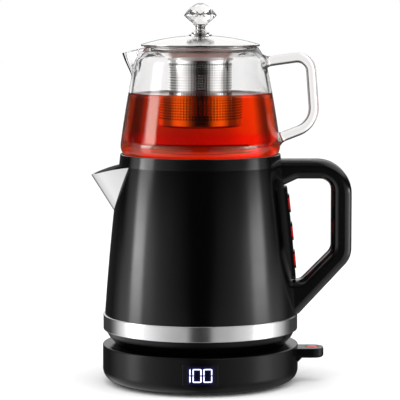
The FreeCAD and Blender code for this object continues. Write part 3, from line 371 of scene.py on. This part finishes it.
def moulded(name, colour, rough, grain=0.35, depth=0.02, gloss=0.4):
    """Moulded plastic: spark-eroded grain, and a slow change of gloss."""
    finish = Finish(name, IOR=1.5, Specular_IOR_Level=gloss)
    slow = finish.noise(14.0)
    finish.vary("Roughness", slow, rough - 0.015, rough + 0.02)
    finish.tint(slow, colour, [channel * 1.1 for channel in colour])
    finish.emboss(finish.noise(grain, 3.0), depth, 0.5)
    return finish.material


def steel(name, colour, rough, lines=None, amount=0.0):
    """Stainless steel, brushed round the axis where lines gives the grain."""
    finish = Finish(name, Metallic=1.0)
    slow = finish.noise(9.0)
    finish.vary("Roughness", slow, rough * 0.85, rough * 1.2)
    streaks = finish.noise(lines, 4.0, 0.7) if lines else finish.noise(1.5, 4.0)
    finish.tint(streaks, [channel * 0.95 for channel in colour], colour)
    finish.emboss(streaks, 0.004, 0.2)
    if amount:
        finish.brushed_round(amount)
    return finish.material


def spun_steel():
    """Lid: polished on a lathe, with fine rings, and a painted shade band along its lowest few
    millimetres, under the rim.
    """
    finish = Finish("spun_steel", Metallic=1.0)
    rings = finish.rings(0.35, 4.0)
    finish.vary("Roughness", finish.noise(12.0), 0.13, 0.19)
    # Painted shade: the base colour is dark brown from 270 to 275 mm, standing in for the shadow
    # where the lid meets the infuser's brim.
    finish.along("Z", rings, 0.6, (
        (270.0, rim_shade_steel), (275.0, rim_shade_steel), (275.6, (0.70, 0.69, 0.68)),
        (290.0, (0.74, 0.73, 0.72)),
    ))
    finish.emboss(rings, 0.006, 0.3)
    finish.brushed_round(0.75)
    return finish.material


def pressed_collar():
    """Infuser's collar: polished cone under a brim, with a painted shade band just below the brim.
    """
    finish = Finish("pressed_collar", Metallic=0.6)
    finish.vary("Roughness", finish.noise(10.0), 0.3, 0.38)
    # Painted shade: the base colour turns dark brown from 272.6 to 273.75 mm, where the brim and
    # lid shade the collar.
    finish.along("Z", finish.noise(6.0), 0.1, (
        (262.0, (0.95, 0.94, 0.93)), (271.6, (0.95, 0.93, 0.91)), (272.6, brim_shade_brown),
        (273.75, brim_shade_brown), (273.95, chrome), (275.0, chrome),
    ))
    finish.emboss(finish.rings(0.4, 3.0), 0.005, 0.2)
    finish.brushed_round(0.6)
    return finish.material


def seal_silicone():
    """Milky silicone of the infuser's seal."""
    finish = Finish("seal_silicone", Transmission_Weight=0.5, IOR=1.41, Specular_IOR_Level=0.4)
    finish.vary("Roughness", finish.noise(5.0), 0.28, 0.36)
    finish.tint(finish.noise(3.0), (0.74, 0.70, 0.66), (0.82, 0.79, 0.76))
    return finish.material


def satin_paint():
    """Black paint on the kettle: slight orange peel and a fine sheen."""
    finish = Finish("satin_black_paint", IOR=1.5, Specular_IOR_Level=0.42)
    finish.vary("Roughness", finish.noise(26.0), 0.15, 0.18)
    finish.tint(finish.noise(0.5, 2.0), (0.0002, 0.0002, 0.0002), (0.0004, 0.0004, 0.0004))
    finish.emboss(finish.noise(1.6, 2.0), 0.01, 0.12)
    return finish.material


def clear_glass(name, ior, colour, density):
    """Slightly wavy glass, tinted only where it is thick."""
    finish = Finish(name, Transmission_Weight=1.0, IOR=ior, Base_Color=(1.0, 1.0, 1.0, 1.0))
    finish.vary("Roughness", finish.noise(30.0), 0.0, 0.012)
    finish.emboss(finish.noise(24.0, 1.0), 0.05, 0.05)
    finish.absorb(colour, density)
    return finish


def jar_glass():
    """Clear glass with a painted orange glow and a painted orange tint in its thick bottom,
    standing in for the tea's colour seen through it.
    """
    finish = clear_glass("jar_glass", 1.47, (0.5, 0.4, 0.3), 6.0)
    finish.surface.inputs["Specular IOR Level"].default_value = 0.18
    # Painted light: the bottom glows orange up to 190 mm, fading out by 198 mm, and its base colour
    # runs from orange to white by 203 mm.
    finish.surface.inputs["Emission Color"].default_value = (1.0, 0.09, 0.0, 1.0)
    finish.glow_below(190.0, 198.0, 0.09)
    finish.along("Z", finish.noise(9.0), 1.2, (
        (182.0, (1.0, 0.30, 0.03)), (194.5, (1.0, 0.34, 0.04)), (198.5, (1.0, 0.92, 0.85)),
        (203.0, (1.0, 1.0, 1.0)),
    ))
    return finish.material


def tea_liquid():
    """Tea, amber at the jar's sides, with a painted shade band behind the infuser in its back half.
    """
    finish = Finish("black_tea", Transmission_Weight=1.0, IOR=1.33, Roughness=0.0)
    # Painted shade: in the back half the colour darkens from -30 mm in X to its darkest between -8
    # and 2 mm, and is amber again by 26 mm, where the infuser shades the tea.
    behind = finish.along("X", finish.noise(16.0, 2.0), 9.0, (
        (-60.0, amber), (-30.0, amber), (-8.0, infuser_shade_tea),
        (2.0, infuser_shade_tea), (26.0, amber), (60.0, amber),
    ))
    finish.in_front((1.0, 0.8, 0.5), behind)
    finish.absorb((0.95, 0.64, 0.0), 100.0)
    return finish.material


def red_lens(name, glow):
    """Red plastic with a faint light behind it."""
    finish = Finish(name, Roughness=0.18, IOR=1.5, Emission_Color=(1.0, 0.01, 0.004, 1.0))
    finish.tint(finish.noise(3.0), (0.42, 0.003, 0.002), (0.62, 0.008, 0.004))
    finish.vary("Emission Strength", finish.noise(2.2), glow * 0.7, glow)
    return finish.material


def display_glass():
    """Tinted window, lit from behind where the mesh's glow attribute says so."""
    finish = Finish(
        "tinted_window", Roughness=0.12, IOR=1.5, Specular_IOR_Level=0.2,
        Emission_Color=(0.16, 0.14, 1.0, 1.0),
    )
    finish.tint(finish.noise(6.0), (0.0010, 0.0010, 0.0014), (0.0014, 0.0014, 0.0018))
    glow = finish.add("ShaderNodeAttribute", attribute_name="glow")
    finish.join(glow.outputs["Fac"], finish.surface.inputs["Emission Strength"])
    return finish.material


def digit_light():
    """Cold white light of the digits."""
    finish = Finish(
        "digit_light", Base_Color=(0.8, 0.85, 1.0, 1.0), Emission_Color=(0.86, 0.9, 1.0, 1.0)
    )
    finish.vary("Emission Strength", finish.noise(1.5), 0.95, 1.1)
    return finish.material


finishes = {
    "base_black": moulded("base_black", black, 0.25, depth=0.01, gloss=0.22),
    "handle_black": moulded("handle_black", (0.0012, 0.0012, 0.0014), 0.13, depth=0.006, gloss=0.7),
    "satin_paint": satin_paint(),
    "brushed": steel("brushed_steel", (0.74, 0.74, 0.75), 0.17, (40.0, 40.0, 0.3), 0.4),
    "polished": steel("polished_steel", chrome, 0.06),
    "clear_glass": clear_glass("clear_glass", 1.47, (0.45, 0.35, 0.3), 26.0).material,
    "crystal": clear_glass("cut_crystal", 1.6, (0.6, 0.55, 0.5), 8.0).material,
    "rubber_foot": moulded("rubber", (0.014, 0.014, 0.014), 0.62, 0.5, 0.02),
    "silicone": moulded("silicone", (0.03, 0.02, 0.017), 0.5, 0.6, 0.01),
    "red_lens": red_lens("red_lens", 0.12),
    "dark_window": display_glass(),
    "contact_brass": steel("brass", (0.70, 0.50, 0.22), 0.22),
    "circuit_board": moulded("circuit_board", (0.02, 0.11, 0.04), 0.38, 2.0, 0.03),
    "screw_steel": steel("zinc_screw", (0.48, 0.49, 0.50), 0.30),
    "inner_plastic": moulded("inner_plastic", (0.035, 0.035, 0.038), 0.45),
    "heater_alloy": steel("cast_alloy", (0.52, 0.52, 0.52), 0.42),
}
# CAD nodes that look different from the rest of their material slot.
own_finishes = {
    "lid_dome": spun_steel(),
    "infuser_collar": pressed_collar(),
    "infuser_gasket": seal_silicone(),
    "knob_stem": steel("turned_stem", (0.62, 0.61, 0.60), 0.05),
    "top_ring": moulded("ring_black", black, 0.12, depth=0.004, gloss=0.9),
    "power_button": red_lens("power_button_red", 0.04),
}


def dress_cad_nodes():
    """Gives every CAD node its own finish, or the one of its material slot in the record."""
    for node in nodes.values():
        for place in node.material_slots:
            slot = place.material.name.split(".")[0]
            place.material = finishes[slot]
    for name, finish in own_finishes.items():
        nodes[name].material_slots[0].material = finish


# ---- glass teapot ---------------------------------------------------------------------
jar_segments = 160
jar_wall = 3.0
jar_bottom = 183.1
jar_floor = 186.7
jar_top = 273.4
jar_neck = 46.8
jar_mouth = 39.2
jar_rim_height = 4.2
jar_rim_middle = 43.0
jar_rim_rounding = 1.3
jar_mouth_rounding = 1.2
jar_shoulder = (53.6, 262.6)
jar_shoulder_rounding = 12.0
jar_foot_radius = 65.1
jar_foot_rounding = 10.0
jar_floor_radius = 62.0
jar_floor_rounding = 6.0
flank_low = (64.9, 195.5)
flank_middle = (61.4, 219.2)
flank_high = (54.9, 254.5)
flank_steps = 24
foot_steps = 10
mouth_steps = 6
# Inside, the glass is thinner than the wall just under the rim's bead, and thicker at the
# shoulder.
neck_thinner = 1.4
neck_rounding = 1.6
shoulder_thicker = 0.4
shoulder_inner_rounding = 9.0

jar_lip_segments = 48
lip_half_angle = 21.0
lip_root_z = 250.0
lip_ridge_root = 55.6
lip_tip = (64.6, 268.3)
# Width at the lip's root as a share of that at the rim, and the soft crest along its middle.
lip_root_share = 0.15
lip_crest_dip = 0.06
lip_crest_width = 0.12
# How much sooner than the lip's full reach the rim's bead thins to the wall.
lip_thinning = 3

tea_level = 235.7
tea_overlap = 0.5
tea_meniscus = 0.8
meniscus_reach = 1.4
meniscus_shares = (0.5, 0.9, 0.94, 0.97, 0.985, 1.0)


def inward(point, distance):
    """Point moved towards the axis."""
    return (point[0] - distance, point[1])


def jar_outer_side():
    """Outer wall from the middle of the bottom up to the rim."""
    foot = rounded([
        (0, jar_bottom, 0),
        (jar_foot_radius, jar_bottom, jar_foot_rounding),
        (*flank_low, 0),
    ], foot_steps)
    side = bowed(flank_low, flank_middle, flank_high, flank_steps)
    neck = rounded([
        (*flank_high, 0),
        (*jar_shoulder, jar_shoulder_rounding),
        (jar_neck, jar_top, jar_rim_rounding),
        (jar_rim_middle, jar_top, 0),
    ])
    return foot + side[1:-1] + neck


def jar_inner_side(inset=0.0):
    """Inner wall from the mouth down to the floor; inset moves it into the glass."""
    wall = jar_wall - inset
    under_rim = jar_top - jar_rim_height
    neck = rounded([
        (jar_rim_middle, jar_top, 0),
        (jar_mouth, jar_top, jar_mouth_rounding),
        (jar_mouth, under_rim, jar_mouth_rounding),
        (jar_neck - wall + neck_thinner, under_rim, neck_rounding),
        (*inward(jar_shoulder, wall + shoulder_thicker), shoulder_inner_rounding),
        (*inward(flank_high, wall), 0),
    ], mouth_steps)
    low = inward(flank_low, wall)
    side = bowed(inward(flank_high, wall), inward(flank_middle, wall), low, flank_steps)
    floor = rounded([
        (*low, 0),
        (jar_floor_radius + inset, jar_floor - inset, jar_floor_rounding),
        (0, jar_floor - inset, 0),
    ], foot_steps)
    return neck + side[1:-1] + floor


def outer_radius(outline, height):
    """Radius of an outline at a height."""
    for (x0, z0), (x1, z1) in zip(outline, outline[1:]):
        if z0 <= height <= z1 and z1 > z0:
            return x0 + (x1 - x0) * (height - z0) / (z1 - z0)
    return outline[-1][0]


def lip_shift(outside):
    """Returns a function that pulls the wall out into the pouring lip, on the -X side."""
    slope = (lip_tip[0] - lip_ridge_root) / (lip_tip[1] - lip_root_z)
    start_z = jar_shoulder[1]

    def shift(x, z, angle):
        if z <= lip_root_z:
            return x, z
        rise = (z - lip_root_z) / (jar_top - lip_root_z)
        reach = math.radians(lip_half_angle) * (lip_root_share + (1 - lip_root_share) * rise)
        away = abs(math.pi - angle) / reach
        if away >= 1:
            return x, z
        pull = 1 - away
        pull = pull - lip_crest_dip * math.exp(-((away / lip_crest_width) ** 2))
        lowered = z
        if z > start_z:
            lowered = start_z + (z - start_z) * (lip_tip[1] - start_z) / (jar_top - start_z)
        ridge = lip_ridge_root + slope * (lowered - lip_root_z)
        wall_radius = outer_radius(outside, z)
        gap = ridge - wall_radius
        inner = max(x, wall_radius - jar_wall)
        radius = x + (inner - x) * min(1.0, lip_thinning * pull) + gap * pull
        return radius, z + (lowered - z) * pull

    return shift


def jar_angles():
    """Angles round the jar, closer together at the lip."""
    half = math.radians(lip_half_angle)
    rest = 2 * math.pi - 2 * half
    fine = [2 * index / jar_lip_segments - 1 for index in range(jar_lip_segments)]
    lip = [math.pi + half * share for share in fine]
    body = [math.pi + half + rest * index / jar_segments for index in range(jar_segments)]
    return [angle % (2 * math.pi) for angle in lip + body]


def make_teapot():
    """Glass jar with its pouring lip."""
    outside = jar_outer_side()
    points, faces = revolved(outside + jar_inner_side()[1:], jar_angles(), lip_shift(outside))
    jar = piece_from("glass_jar", points, faces, jar_glass(), "teapot")
    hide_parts("teapot_jar")
    jar.visible_shadow = False


def make_tea():
    """Tea that fills the jar to its level, with a meniscus at the glass."""
    side = [point for point in jar_inner_side(tea_overlap) if point[1] < tea_level]
    edge = side[0][0]
    surface = [(0, tea_level)]
    for share in meniscus_shares:
        climb = tea_meniscus * math.exp(-(1 - share) * edge / meniscus_reach)
        surface.append((edge * share, tea_level + climb))
    points, faces = revolved((surface + side)[::-1], angles_round(jar_segments))
    tea = piece_from("tea", points, faces, tea_liquid(), "teapot")
    tea.visible_shadow = False


# ---- glass handle ---------------------------------------------------------------------
rod_radius = 4.1
rod_sides = 40
rod_step = 1.5
rod_corner_steps = 14
rod_flare = 2.6
rod_flare_length = 3.2
rod_corners = ((50.5, 261.2, 0), (89.0, 266.6, 11.3), (93.2, 210.8, 20.0), (61.6, 198.5, 0))


def spaced(outline, step):
    """Points along an outline about one step apart."""
    result = [outline[0]]
    for start, end in zip(outline, outline[1:]):
        count = max(1, round(math.dist(start, end) / step))
        for index in range(1, count + 1):
            share = index / count
            result.append((
                start[0] + (end[0] - start[0]) * share,
                start[1] + (end[1] - start[1]) * share,
            ))
    return result


def make_rod():
    """Glass rod bent to a handle, flared where it melts into the jar."""
    path = spaced(rounded(rod_corners, rod_corner_steps), rod_step)
    total = sum(math.dist(start, end) for start, end in zip(path, path[1:]))
    count = rod_sides
    points = []
    run = 0.0
    for index, here in enumerate(path):
        before = path[max(index - 1, 0)]
        after = path[min(index + 1, len(path) - 1)]
        run += math.dist(before, here) if index else 0.0
        ahead = Vector((after[0] - before[0], 0, after[1] - before[1])).normalized()
        side = Vector((0, 1, 0))
        up = ahead.cross(side)
        near_end = min(run, total - run)
        radius = rod_radius + rod_flare * math.exp(-((near_end / rod_flare_length) ** 2))
        for angle in angles_round(count):
            offset = side * math.cos(angle) * radius + up * math.sin(angle) * radius
            points.append(Vector((here[0], 0, here[1])) + offset)
    faces = []
    for row in range(len(path) - 1):
        low = row * count
        high = low + count
        for index in range(count):
            following = (index + 1) % count
            faces.append((low + index, low + following, high + following, high + index))
    faces.append(tuple(reversed(range(count))))
    faces.append(tuple(range(len(points) - count, len(points))))
    rod = piece_from("glass_handle", points, faces, finishes["clear_glass"], "teapot")
    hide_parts("teapot_handle")
    rod.visible_shadow = False


# ---- infuser sleeve -------------------------------------------------------------------
sleeve_radius = 25.7
sleeve_wall = 0.6
sleeve_bottom = 209.6
sleeve_top = 266.2
hole_pitch = 2.15
hole_radius = 0.7
hole_sides = 8
hole_first_z = 213.6
hole_last_z = 261.5
# Columns are turned by this share of a pitch, so that front and back holes don't line up.
hole_phase = 0.25


def perforated_cell(corners, hole):
    """Faces between a cell's square outline and its round hole, corners and hole as indices."""
    faces = []
    side = len(hole) // 4
    for quarter in range(4):
        start = quarter * side
        arc = [hole[(start + index) % len(hole)] for index in range(side + 1)]
        faces.append((corners[quarter], corners[(quarter + 1) % 4], *reversed(arc)))
    return faces


def sharpen_openings(mesh):
    """Keeps the shading even up to the edge of each hole."""
    shape = bmesh.new()
    shape.from_mesh(mesh)
    for edge in shape.edges:
        edge.smooth = not edge.is_boundary
    shape.to_mesh(mesh)
    shape.free()


def make_sleeve():
    """Thin steel tube with rows of round holes, made from a grid of cells bent round."""
    columns = round(2 * math.pi * sleeve_radius / hole_pitch)
    rows = int((hole_last_z - hole_first_z) / hole_pitch)
    heights = [hole_first_z + hole_pitch * row for row in range(rows + 1)]
    points = []
    faces = []

    def put(angle, height):
        points.append((sleeve_radius * math.cos(angle), sleeve_radius * math.sin(angle), height))
        return len(points) - 1

    step = 2 * math.pi / columns
    levels = [sleeve_bottom] + heights + [sleeve_top]
    starts = [step * (column + hole_phase) for column in range(columns)]
    grid = [[put(angle, height) for angle in starts] for height in levels]
    for level in range(len(levels) - 1):
        for column in range(columns):
            following = (column + 1) % columns
            corners = (
                grid[level][column], grid[level][following],
                grid[level + 1][following], grid[level + 1][column],
            )
            if level in (0, len(levels) - 2):
                faces.append(corners)
                continue
            middle_angle = starts[column] + step / 2
            middle_height = (levels[level] + levels[level + 1]) / 2
            hole = []
            for index in range(hole_sides):
                turn = math.radians(225 + 360 * index / hole_sides)
                hole.append(put(
                    middle_angle + hole_radius * math.cos(turn) / sleeve_radius,
                    middle_height + hole_radius * math.sin(turn),
                ))
            faces.extend(perforated_cell(corners, hole))
    outside = steel("sleeve_steel", (0.95, 0.94, 0.93), 0.09, (30.0, 30.0, 0.3), 0.2)
    sleeve = piece_from("perforated_sleeve", points, faces, outside, "infuser")
    sharpen_openings(sleeve.data)
    # Painted shade: the inside of the tube and the walls of its holes are a near-black matte steel,
    # standing in for the shade inside the basket.
    sleeve.data.materials.append(steel("sleeve_inside_painted_shade", (0.05, 0.05, 0.05), 0.5))
    wall = sleeve.modifiers.new("wall", "SOLIDIFY")
    wall.material_offset = 1
    wall.material_offset_rim = 1
    wall.thickness = sleeve_wall * MM
    wall.offset = -1.0
    wall.use_even_offset = True
    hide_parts("infuser_sleeve")


# ---- display --------------------------------------------------------------------------
window_low, window_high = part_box("display_window")
window_radius = -window_low.y / MM
window_centre_z = (window_low.z + window_high.z) / 2 / MM
window_corner = 2.0
window_thickness = 1.5
digit_height = 10.9
digit_width = 7.0
digit_stroke = 0.86
digit_gap = 0.5
digit_centres = (-8.2, -2.6, 5.8)
# Pointed ends: how far the point stands out, and where it starts, in half strokes.
digit_point = 0.55
digit_point_start = 0.25
digit_lift = 0.06
glow_reach = 0.7
glow_level = 0.15
glow_grid = 0.4


def segment_bars(centre, one):
    """Bars (x0, z0, x1, z1) of a digit: the figure 1, or a 0."""
    half_width = digit_width / 2 - digit_stroke / 2
    half_height = digit_height / 2 - digit_stroke / 2
    right = centre if one else centre + half_width
    bars = [(right, digit_gap, right, half_height), (right, -half_height, right, -digit_gap)]
    if not one:
        left = centre - half_width
        bars += [(left, digit_gap, left, half_height), (left, -half_height, left, -digit_gap)]
        for end in (-half_height, half_height):
            bars.append((left + digit_gap, end, right - digit_gap, end))
    return bars


def all_bars():
    """Bars of the figures 1, 0 and 0."""
    bars = []
    for index, centre in enumerate(digit_centres):
        bars += segment_bars(centre, index == 0)
    return bars


def bar_distance(bar, x, z):
    """Distance from a point to the middle line of a bar."""
    x0, z0, x1, z1 = bar
    length = (x1 - x0) ** 2 + (z1 - z0) ** 2
    share = max(0.0, min(1.0, ((x - x0) * (x1 - x0) + (z - z0) * (z1 - z0)) / length))
    return math.dist((x, z), (x0 + (x1 - x0) * share, z0 + (z1 - z0) * share))


def on_window(x, z, lift):
    """Point on the window's curve, or lifted off it; z is from its middle."""
    radius = window_radius + lift
    return (x, -math.sqrt(radius ** 2 - x ** 2), window_centre_z + z)


def make_digits():
    """Lit bars just in front of the window, with pointed ends."""
    points = []
    faces = []
    half = digit_stroke / 2
    point = half * digit_point
    start = half * digit_point_start
    for x0, z0, x1, z1 in all_bars():
        length = math.dist((x0, z0), (x1, z1))
        ahead = ((x1 - x0) / length, (z1 - z0) / length)
        across = (-ahead[1], ahead[0])
        first = len(points)
        outline = (
            (-point, 0.0), (start, -half), (length - start, -half),
            (length + point, 0.0), (length - start, half), (start, half),
        )
        for along, aside in outline:
            x = x0 + ahead[0] * along + across[0] * aside
            z = z0 + ahead[1] * along + across[1] * aside
            points.append(on_window(x, z, digit_lift))
        faces.append(tuple(range(first, first + len(outline))))
    piece_from("display_digits", points, faces, digit_light(), "base", smooth=False)


def make_window():
    """Curved window with the digits' soft glow stored in its mesh."""
    half_width = window_high.x / MM
    half_height = (window_high.z - window_low.z) / 2 / MM
    columns = round(2 * half_width / glow_grid)
    rows = round(2 * half_height / glow_grid)
    bars = all_bars()
    points = []
    glow = []
    for row in range(rows + 1):
        z = half_height * (2 * row / rows - 1)
        inside = max(0.0, abs(z) - (half_height - window_corner))
        rounding = math.sqrt(max(0.0, window_corner ** 2 - inside ** 2))
        width = half_width - window_corner + rounding
        for column in range(columns + 1):
            x = width * (2 * column / columns - 1)
            points.append(on_window(x, z, 0.0))
            near = min(bar_distance(bar, x, z) for bar in bars) - digit_stroke / 2
            glow.append(glow_level * math.exp(-max(near, 0.0) / glow_reach))
    faces = []
    for row in range(rows):
        for column in range(columns):
            low = row * (columns + 1) + column
            faces.append((low, low + 1, low + columns + 2, low + columns + 1))
    window = piece_from("display_glass", points, faces, finishes["dark_window"], "base")
    attribute = window.data.attributes.new("glow", "FLOAT", "POINT")
    attribute.data.foreach_set("value", glow)
    backing = window.modifiers.new("thickness", "SOLIDIFY")
    backing.thickness = window_thickness * MM
    backing.offset = -1.0
    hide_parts("display_window")


# ---- stage ----------------------------------------------------------------------------
def make_floor():
    """Pale floor that catches the soft shadow."""
    points, faces = revolved([(radius, 0) for radius in floor_rings], angles_round(floor_sides))
    finish = Finish("pale_floor", Base_Color=(0.9, 0.9, 0.9, 1.0), Specular_IOR_Level=0.0)
    finish.vary("Roughness", finish.noise(5.0), 0.86, 0.94)
    floor = piece_from("floor", points, faces, finish.material, None)
    floor.visible_glossy = False
    floor.visible_transmission = False


def make_world():
    """White to the eye and through glass, a plain studio to everything that reflects it."""
    world = bpy.data.worlds.new("studio")
    world.use_nodes = True
    bpy.context.scene.world = world
    tree = world.node_tree
    tree.nodes.clear()
    join = tree.links.new

    def add(kind, **settings):
        node = tree.nodes.new(kind)
        for key, value in settings.items():
            setattr(node, key, value)
        return node

    def background(level):
        node = add("ShaderNodeBackground")
        node.inputs["Color"].default_value = (1.0, 1.0, 1.0, 1.0)
        node.inputs["Strength"].default_value = level
        return node.outputs["Background"]

    def blend(share, first, second):
        node = add("ShaderNodeMixShader")
        join(share, node.inputs[0])
        join(first, node.inputs[1])
        join(second, node.inputs[2])
        return node.outputs["Shader"]

    place = add("ShaderNodeTexCoord")
    split = add("ShaderNodeSeparateXYZ")
    join(place.outputs["Generated"], split.inputs["Vector"])
    front = add("ShaderNodeMath", operation="MULTIPLY")
    front.inputs[1].default_value = -1.0
    join(split.outputs["Y"], front.inputs[0])
    azimuth = add("ShaderNodeMath", operation="ARCTAN2")
    join(split.outputs["X"], azimuth.inputs[0])
    join(front.outputs["Value"], azimuth.inputs[1])
    share = add("ShaderNodeMapRange")
    share.inputs["From Min"].default_value = -math.pi
    share.inputs["From Max"].default_value = math.pi
    join(azimuth.outputs["Value"], share.inputs["Value"])

    def round_about(levels):
        """Background whose level follows the azimuth."""
        ramp = add("ShaderNodeValToRGB")
        stops = ramp.color_ramp.elements
        while len(stops) < len(levels):
            stops.new(0.5)
        for stop, (degrees, level) in zip(stops, levels):
            stop.position = (degrees + 180) / 360
            stop.color = (level, level, level, 1.0)
        join(share.outputs["Result"], ramp.inputs["Fac"])
        shown = background(1.0)
        join(ramp.outputs["Color"], shown.node.inputs["Color"])
        return shown

    def above(start, end, lower, upper):
        """The lower surroundings, which turn into the upper ones between two elevations."""
        rise = add("ShaderNodeMapRange", interpolation_type="SMOOTHSTEP")
        rise.inputs["From Min"].default_value = math.sin(math.radians(start))
        rise.inputs["From Max"].default_value = math.sin(math.radians(end))
        join(split.outputs["Z"], rise.inputs["Value"])
        return blend(rise.outputs["Result"], lower, upper)

    studio = round_about(studio_ground)
    for start, end, levels in studio_bands:
        studio = above(start, end, studio, round_about(levels))
    rays = add("ShaderNodeLightPath")
    # True for a ray that something has reflected before it leaves through the glass.
    bounced = add("ShaderNodeMath", operation="GREATER_THAN")
    bounced.inputs[1].default_value = 0.5
    join(rays.outputs["Glossy Depth"], bounced.inputs[0])
    through_glass = blend(
        bounced.outputs["Value"],
        round_about(backdrop),
        above(*inside_glass_fades, round_about(inside_glass), studio),
    )
    through_glass = above(*backdrop_fades, through_glass, background(overhead_level))
    lit = blend(rays.outputs["Is Glossy Ray"], background(fill_level), studio)
    lit = blend(rays.outputs["Is Transmission Ray"], lit, through_glass)
    shown = blend(rays.outputs["Is Camera Ray"], lit, background(backdrop_level))
    join(shown, add("ShaderNodeOutputWorld").inputs["Surface"])


def make_softbox(name, azimuth, distance, height, width, length, level, aim_height):
    """Area light at an azimuth seen from above, 0 at the front and 90 at +X. Metres."""
    angle = math.radians(azimuth)
    light = bpy.data.lights.new(name, "AREA")
    light.shape = "RECTANGLE"
    light.size = width
    light.size_y = length
    light.energy = level * math.pi * width * length
    softbox = bpy.data.objects.new(name, light)
    softbox.location = (distance * math.sin(angle), -distance * math.cos(angle), height)
    aim = Vector((0, 0, aim_height)) - softbox.location
    softbox.rotation_euler = aim.to_track_quat("-Z", "Y").to_euler()
    softbox.visible_camera = False
    softbox.visible_glossy = False
    softbox.visible_transmission = False
    bpy.context.scene.collection.objects.link(softbox)


def make_camera():
    """Camera at the photo's angle."""
    data = bpy.data.cameras.new("camera")
    data.lens = camera_lens
    camera = bpy.data.objects.new("camera", data)
    camera.location = Vector(camera_place) * MM
    camera.rotation_euler = (math.radians(90 - camera_pitch), 0, 0)
    bpy.context.scene.collection.objects.link(camera)
    bpy.context.scene.camera = camera


def main():
    dress_cad_nodes()
    make_teapot()
    make_tea()
    make_rod()
    make_sleeve()
    make_window()
    make_digits()
    make_floor()
    make_world()
    for softbox in softboxes:
        make_softbox(*softbox)
    make_camera()
    bpy.context.scene.view_settings.view_transform = "Standard"


main()
